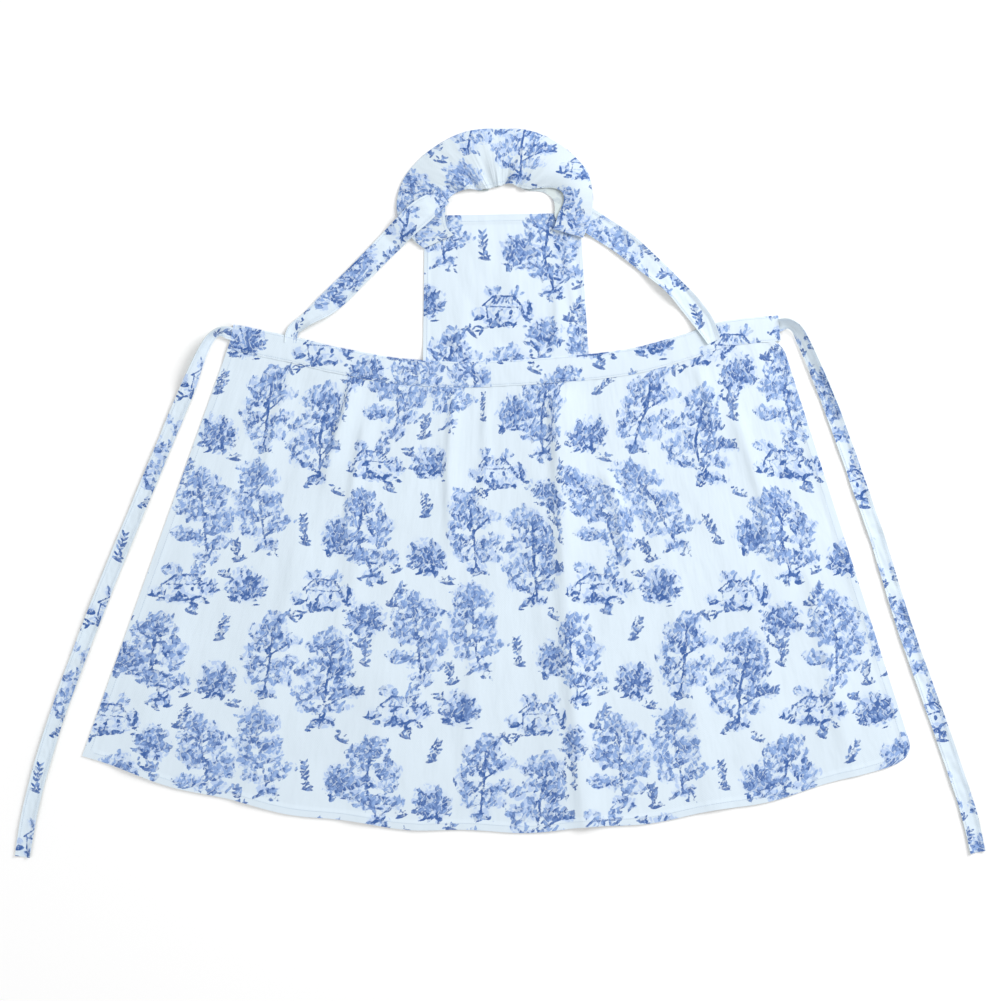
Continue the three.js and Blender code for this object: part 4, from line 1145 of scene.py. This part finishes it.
def neck_section(kit, along):
    """Where the band's edges lie at a share along it, seen from the opening's middle, and its heights."""
    s = kit.sizes
    turn = s.layer / 2 + GAP
    direction = mix(s.neck_from, s.neck_to, along)
    half_width = s.bib_top_width / 2 - s.neck_margin
    # The opening is an oval squared off by this power
    power = 3
    across, up = np.abs(np.cos(direction)) / half_width, np.abs(np.sin(direction)) / s.neck_opening
    inner = (across**power + up**power) ** (-1 / power) * read(NECK_SECTIONS, "inner", along)
    # The lower layer peeks out at the right, round 20 degrees
    off = (np.degrees(direction) - 20) / 16
    peek = np.exp(-off * off)
    shrink = 0.005 - 0.0075 * ease(waver(along * 5, along * 0, 35, 4) + 0.5)
    # The right end lies on the bib and strap, the left end on the bib
    right = 2 * s.layer * (1 - ease((along - 0.11) / 0.08))
    left = s.layer * (1 - ease((1 - along - 0.12) / 0.08))
    return {
        "direction": direction,
        "turn": turn,
        "outer": read(NECK_SECTIONS, "outer", along) * (s.bib_top_width / 2 + s.neck_overhang) - turn,
        "upper": inner + 0.017 * peek,
        "lower": inner + shrink * (1 - peek),
        "base": right + left + 0.0005,
        "puff": read(NECK_SECTIONS, "puff", along),
    }


def neck_height(kit, section, along, inwards):
    """Height of the upper layer, a share of the way in from the outer fold."""
    dome = kit.sizes.neck_puff * np.sin(np.pi * np.clip(inwards, 0, 1)) * 0.86
    ruffle = 0.0024 * (1 - np.cos(18 * np.pi * along)) * inwards * inwards
    return section["base"] + 2 * section["turn"] + section["puff"] * (dome + ruffle)


class APRON_OT_neck_band(bpy.types.Operator):
    """Makes the neck band: a gathered strip folded along its outer edge."""

    bl_idname = "apron.neck_band"
    bl_label = "Neck band"

    def execute(self, context):
        kit = Kit.of(context)
        s, cut = kit.sizes, kit.cut
        along, strip = grid(270, 108)
        section = neck_section(kit, along)
        lower = np.clip(strip / FOLD_START, 0, 1)
        bend = np.clip((strip - FOLD_START) / (FOLD_END - FOLD_START), 0, 1) * math.pi - math.pi / 2
        upper = np.clip((strip - FOLD_END) / (1 - FOLD_END), 0, 1)
        is_lower, is_upper = strip <= FOLD_START, strip > FOLD_END
        on_fold = (strip > FOLD_START) & (strip < FOLD_END)
        lower_radius = mix(section["lower"], section["outer"], lower)
        radius = np.where(is_lower, lower_radius, mix(section["outer"], section["upper"], upper))
        radius = np.where(on_fold, section["outer"] + section["turn"] * np.cos(bend), radius)
        height = np.where(is_lower, section["base"], neck_height(kit, section, along, upper))
        height = np.where(on_fold, section["base"] + section["turn"] * (1 + np.sin(bend)), height)
        # Gathers: fine pleats that run inwards, deepest at the inner edge
        broad = 1.3 * waver(along * 15, upper * 1.2, 31, 9, 0.8)
        gathers = broad + 0.5 * waver(along * 62, upper * 2, 32, 9, 0.8)
        depth = section["puff"] * (0.25 + 0.75 * upper**1.5) * ease(upper / 0.2)
        height = height + 0.0024 * depth * gathers
        radius = radius + 0.0016 * depth * upper * waver(along * 30, upper, 33, 7, 0.9)
        spot = cut.neck_place(section["direction"], radius)
        height = np.maximum(height, np.where(is_upper, section["base"] + 2 * section["turn"] * 0.8, 0))
        middle = place(spot[..., 0], spot[..., 1], height)
        # The strip as it was cut, a half longer than the band and drawn up to it by the gathers
        middle_radius = 0.105
        around = (s.neck_to - s.neck_from) * middle_radius
        fullness = 1.5
        folded_out = np.where(strip > 0.5, 2 * section["outer"] - radius + 0.004, radius)
        flat = pair(along * around * fullness, folded_out)
        larger = 1.12
        print_y = spot[..., 1] * larger + 0.066 + np.where(strip > 0.5, 0, 0.12)
        prints = pair(spot[..., 0] * larger + 0.021, print_y)
        # The band wears the darker, greyer copy of the cotton: painted shade for its gathers
        neck, front = cloth(kit, "neck_band_cloth", middle, s.cloth * 1.2, flat, prints, kit.neck)
        nu, nv = front.shape[:2]
        lines = [line_on(front, np.linspace(3, nu - 4, 260), nv - 4.2, THREAD_LIFT)]
        thread = stitching(kit, "neck_band_stitching", lines)
        declare(neck, "neck_band")
        return {"FINISHED"}


# Straps and ties


def smooth_line(points, count):
    """Even points along a smooth line through a few places."""
    points = np.array(points, float)
    for _ in range(5):
        # A point more between each two, from the four round it
        index, last = np.arange(len(points) - 1), len(points) - 1
        before, after = points[np.maximum(index - 1, 0)], points[np.minimum(index + 2, last)]
        mids = (9 * (points[:-1] + points[1:]) - before - after) / 16
        merged = np.empty((len(points) + len(mids), points.shape[1]))
        merged[::2], merged[1::2] = points, mids
        points = merged
    steps = np.linalg.norm(np.diff(points, axis=0), axis=1)
    run = np.concatenate([[0], np.cumsum(steps)])
    at = np.linspace(0, run[-1], count)
    return np.stack([np.interp(at, run, points[:, k]) for k in range(points.shape[1])], -1), run[-1]


def spread_out(values, reach):
    """The highest value within reach of each place, then evened out over the same reach."""
    for gather in (np.max, np.mean):
        padded = np.pad(values, reach, mode="edge")
        values = gather([padded[k : k + len(values)] for k in range(2 * reach + 1)], axis=0)
    return values


def ribbon(kit, name, rows, start, end, before, after, width, under, shares, prints_at, seed):
    """A hemmed strip along a route from start to end, with points before and after them that it runs on to.

    under gives the height of what it lies on, shares turns a distance along it into a share of the route,
    and prints_at gives the place on the tile. Returns the object, its stitches and its length.
    """
    line = end - start
    left_of = np.array([-line[1], line[0]])
    route = [start + line * a + left_of * b for a, b in zip(rows["along"], rows["aside"])]
    far = smooth_line([*before, *route, *after], 400)[1]
    count = 3 * math.ceil(far / CELL / 3) + 1
    spots, far = smooth_line([*before, *route, *after], count)
    way = unit(np.gradient(spots, axis=0))
    left = np.stack([-way[:, 1], way[:, 0]], -1)
    distance = np.linspace(0, far, count)
    at = shares(distance, far)
    wide = width * read(rows, "width", at)
    bank = np.radians(read(rows, "bank", at))
    # Stiff cloth bridges over 12 mm on both sides of what it climbs over
    felt = [under(spots + left * (off * wide)[:, None], distance) for off in (-0.5, -0.25, 0, 0.25, 0.5)]
    lifts = spread_out(np.max(felt, axis=0), round(0.012 / (far / (count - 1))))
    # The grid runs along the strip first, and across it from right to left, so that the print faces up
    columns = 3 * math.ceil(width / CELL / 3)
    spot, off = np.meshgrid(np.arange(count), np.linspace(-0.5, 0.5, columns + 1), indexing="ij")
    run, bank, wide, under_it = distance[spot], bank[spot], wide[spot], lifts[spot]
    narrow_hem = 0.0045
    hem = 1 - ease((np.minimum(0.5 - off, off + 0.5) * wide - narrow_hem) / 0.0015)
    thick = kit.sizes.cloth * (1 + 1.6 * hem)
    curl = 0.0010 * (2 * np.abs(off)) ** 3 * (1 + waver(run * 14, off * 0.6, seed, 6))
    broad = 0.0012 * (1 + waver(run * 9, off * 0.9, seed + 1, 6))
    rock = broad + 0.0004 * waver(run * 60, off * 2, seed + 2, 6)
    tipped = np.abs(np.sin(bank)) * wide / 2 + off * wide * np.sin(bank)
    height = under_it + thick / 2 + tipped + curl + np.maximum(rock, 0) * np.minimum(1, run / 0.03)
    aside = off * wide * np.cos(bank) + 0.0006 * waver(run * 12, off, seed + 3)
    flat_place = spots[spot] + left[spot] * aside[..., None]
    middle = place(flat_place[..., 0], flat_place[..., 1], height)
    prints = prints_at(run, off * width)
    obj, front = cloth(kit, name, middle, thick, pair(run, off * width), prints)
    nu, nv = front.shape[:2]
    stitched = np.linspace(4, nu - 5, max(120, nu // 2))
    inset = 0.0032 / width * (nv - 1)
    lines = [line_on(front, stitched, column, THREAD_LIFT) for column in (inset, nv - 1 - inset)]
    thread = stitching(kit, name.replace("_cloth", "_stitching"), lines)
    return obj, thread, far


# Where the straps meet the waistband, as shares along it, and how far down the right one reaches
LEFT_FOOT, RIGHT_FOOT, RIGHT_FOOT_DEPTH = 0.107, 0.871, 0.66
# Where the straps meet the neck band: shares along it, and from one of its edges to another
LEFT_HEAD, LEFT_HEAD_INWARDS = 0.81, 0.90
RIGHT_HEAD, RIGHT_HEAD_OUTWARDS = 0.082, 0.55
ON_CLOTH = 0.0012  # height of a strap over the cloth that it lies on
ON_BAND = 0.0038  # height of the right strap on the waistband's front


class APRON_OT_straps(bpy.types.Operator):
    """Makes the two shoulder straps."""

    bl_idname = "apron.straps"
    bl_label = "Shoulder straps"

    def execute(self, context):
        kit = Kit.of(context)
        s, cut = kit.sizes, kit.cut

        def bib_top(spot):
            along = spot[:, 1] / s.bib_height
            across = 0.5 + (spot[:, 0] - s.bib_lean * along) / mix(s.bib_width, s.bib_top_width, along)
            edge = s.bib_height + (across - 0.5) * s.bib_slant
            on = (across > 0) & (across < 1) & (spot[:, 1] > 0) & (spot[:, 1] < edge)
            return np.where(on, ON_CLOTH, 0)

        def neck_top(spot):
            offset = spot - cut.neck_place(0.0, 0.0)
            turn = np.arctan2(offset[:, 1], offset[:, 0])
            direction = np.where(turn < s.neck_from, turn + 2 * np.pi, turn)
            along = (direction - s.neck_from) / (s.neck_to - s.neck_from)
            section = neck_section(kit, np.clip(along, 0, 1))
            radius = np.linalg.norm(offset, axis=1)
            outer_edge = section["outer"] + section["turn"] + 0.0006
            on = (along <= 1) & (radius > section["upper"]) & (radius < outer_edge)
            inwards = np.clip((section["outer"] - radius) / (section["outer"] - section["upper"]), 0, 1)
            top = neck_height(kit, section, np.clip(along, 0, 1), inwards)
            return np.where(on, top + ON_CLOTH, 0)

        def under(spot, carried, on_band):
            """Height of what a strap lies on: the waistband, then what carries it, then the floor."""
            in_band = cut.waist_depth(spot) > -CLEAR_OF_BAND
            return np.where(in_band, on_band, np.where(carried > 0, carried + GAP, 0))

        # Left strap: over the neck band's end, down into the waistband
        section = neck_section(kit, np.array(LEFT_HEAD))
        head_radius = mix(section["outer"], section["upper"], LEFT_HEAD_INWARDS)
        head = cut.neck_place(section["direction"], head_radius)
        mouth, foot = cut.on_waistband(LEFT_FOOT, -s.seam), cut.on_waistband(LEFT_FOOT, s.seam - GAP)
        tail = np.linalg.norm(mouth - foot)
        left, thread, far = ribbon(
            kit, "shoulder_strap_left_cloth", STRAP_LEFT_ROUTE, head, mouth, [], [foot], s.strap_width,
            under=lambda spot, _: under(spot, np.maximum(bib_top(spot), neck_top(spot)), s.layer),
            shares=lambda distance, far: distance / (far - tail),
            prints_at=lambda run, off: pair(off + 0.072, 0.262 - run),
            seed=51,
        )
        declare(left, "shoulder_strap_left")

        # Right strap: from under the neck band's end over the bib's corner, then onto the waistband's front
        section = neck_section(kit, np.array(RIGHT_HEAD))
        head_radius = mix(section["lower"], section["outer"], RIGHT_HEAD_OUTWARDS)
        head = cut.neck_place(section["direction"], head_radius)
        foot = cut.on_waistband(RIGHT_FOOT, s.band_height * RIGHT_FOOT_DEPTH)
        right, thread, far = ribbon(
            kit, "shoulder_strap_right_cloth", STRAP_RIGHT_ROUTE, head, foot, [], [], s.strap_width,
            under=lambda spot, _: under(spot, bib_top(spot), ON_BAND),
            shares=lambda distance, far: distance / far,
            prints_at=lambda run, off: pair(off + 0.205, 0.198 - run),
            seed=61,
        )
        declare(right, "shoulder_strap_right")
        return {"FINISHED"}


class APRON_OT_ties(bpy.types.Operator):
    """Makes the two waist ties, which turn on their edge beside the skirt."""

    bl_idname = "apron.ties"
    bl_label = "Waist ties"

    def execute(self, context):
        kit = Kit.of(context)
        s, cut = kit.sizes, kit.cut
        # Side, name, route, degrees that the tie spreads out from the skirt's side, and place on the tile
        for side, name, rows, spread, slide in (
            (0, "waist_tie_left", TIE_LEFT_ROUTE, 2.0, 0.020),
            (1, "waist_tie_right", TIE_RIGHT_ROUTE, 2.8, 0.163),
        ):
            outwards = side * 2 - 1
            depth = (s.band_height - s.seam) / 2
            held = cut.on_waistband(side - outwards * s.tie_tongue / s.waist_width, depth)
            start = cut.on_waistband(float(side), depth)
            corner = cut.on_waistband(float(side), s.band_height)
            line = unit(cut.hem_point(np.array(float(side))) - corner)
            turn = math.radians(outwards * spread)
            c, d = math.cos(turn), math.sin(turn)
            way = np.array([line[0] * c - line[1] * d, line[0] * d + line[1] * c])
            in_band = s.tie_tongue + CLEAR_OF_BAND

            def under(_, distance, in_band=in_band):
                return np.where(distance < in_band, s.layer, 0)

            def shares(distance, far, in_band=in_band):
                return (distance - in_band) / (far - in_band)

            def prints(run, off, slide=slide):
                return pair(off * 1.1 + slide, 0.3 - run)

            tip = start + way * s.tie_length
            tie, thread, far = ribbon(
                kit, f"{name}_cloth", rows, start, tip, [held], [], s.tie_width,
                under, shares, prints, seed=71 + 10 * side,
            )
            declare(tie, name)
        return {"FINISHED"}


# Stage


FLOOR_SIDE = 12.0
BELOW = 0.0004  # how far the floor lies below the cloth
CAMERA_HEIGHT = 3.3
SENSOR = 36  # its width, in millimetres
VIEW_WIDTH = 1.4014  # width of the floor that the picture shows
VIEW_ASIDE, VIEW_DOWN = -0.0075, -0.1945  # the picture's middle, from the apron's
# Lamps: name, place, width and power
LAMPS = (("key", (2.2, 1.6, 2.0), 1.9, 84.0), ("fill", (-2.0, -1.0, 2.6), 2.4, 20.0))
WHITE_ROOM = 0.62  # strength of the even light from all round


def lay_floor(scene, rgb):
    half = FLOOR_SIDE / 2
    mesh = bpy.data.meshes.new("floor")
    corners = [(x * half, y * half, -BELOW) for x, y in ((-1, -1), (1, -1), (1, 1), (-1, 1))]
    mesh.from_pydata(corners, [], [(0, 1, 2, 3)])
    mesh.materials.append(white_floor(rgb))
    floor = bpy.data.objects.new("floor", mesh)
    scene.collection.objects.link(floor)


def hang_lamp(scene, name, spot, width, watts):
    """A round lamp that shines at the apron's middle."""
    data = bpy.data.lights.new(name, "AREA")
    data.shape, data.size, data.energy = "DISK", width, watts
    lamp = bpy.data.objects.new(name, data)
    lamp.location = spot
    lamp.rotation_euler = (-Vector(spot)).to_track_quat("-Z", "Y").to_euler()
    scene.collection.objects.link(lamp)


def aim_camera(scene, middle):
    """A camera that looks straight down."""
    data = bpy.data.cameras.new("camera")
    data.sensor_width = SENSOR
    data.lens = SENSOR * CAMERA_HEIGHT / VIEW_WIDTH
    camera = bpy.data.objects.new("camera", data)
    camera.location = (middle[0] + VIEW_ASIDE, middle[1] + VIEW_DOWN, CAMERA_HEIGHT)
    scene.collection.objects.link(camera)
    scene.camera = camera


class APRON_OT_stage(bpy.types.Operator):
    """Makes the white floor, the light and the camera that looks straight down."""

    bl_idname = "apron.stage"
    bl_label = "Stage"

    def execute(self, context):
        kit, scene = Kit.of(context), context.scene
        lay_floor(scene, kit.colours.floor)
        for name, spot, width, watts in LAMPS:
            hang_lamp(scene, name, spot, width, watts)
        world = bpy.data.worlds.new("white_room")
        world.use_nodes = True
        background = world.node_tree.nodes["Background"]
        background.inputs["Color"].default_value = (1.0, 1.0, 1.0, 1.0)
        background.inputs["Strength"].default_value = WHITE_ROOM
        scene.world = world
        scene.view_settings.view_transform = "Standard"
        scene.view_settings.look = "None"
        aim_camera(scene, kit.sizes.middle)
        return {"FINISHED"}


class APRON_PT_panel(bpy.types.Panel):
    """Lists what can be made."""

    bl_label = "Kitchen apron"
    bl_idname = "APRON_PT_panel"
    bl_space_type = "VIEW_3D"
    bl_region_type = "UI"
    bl_category = "Apron"

    def draw(self, context):
        for operator in OPERATORS:
            self.layout.operator(operator.bl_idname)


OPERATORS = (
    APRON_OT_skirt,
    APRON_OT_waistband,
    APRON_OT_bib,
    APRON_OT_neck_band,
    APRON_OT_straps,
    APRON_OT_ties,
    APRON_OT_stage,
)
CLASSES = (ApronSizes, ApronColours, ApronSettings, *OPERATORS, APRON_PT_panel)


def register():
    for cls in CLASSES:
        bpy.utils.register_class(cls)
    bpy.types.Scene.apron = bpy.props.PointerProperty(type=ApronSettings)


def unregister():
    del bpy.types.Scene.apron
    for cls in reversed(CLASSES):
        bpy.utils.unregister_class(cls)


def main():
    register()
    bpy.ops.apron.skirt()
    bpy.ops.apron.waistband()
    bpy.ops.apron.bib()
    bpy.ops.apron.neck_band()
    bpy.ops.apron.straps()
    bpy.ops.apron.ties()
    bpy.ops.apron.stage()


if __name__ == "__main__":
    main()
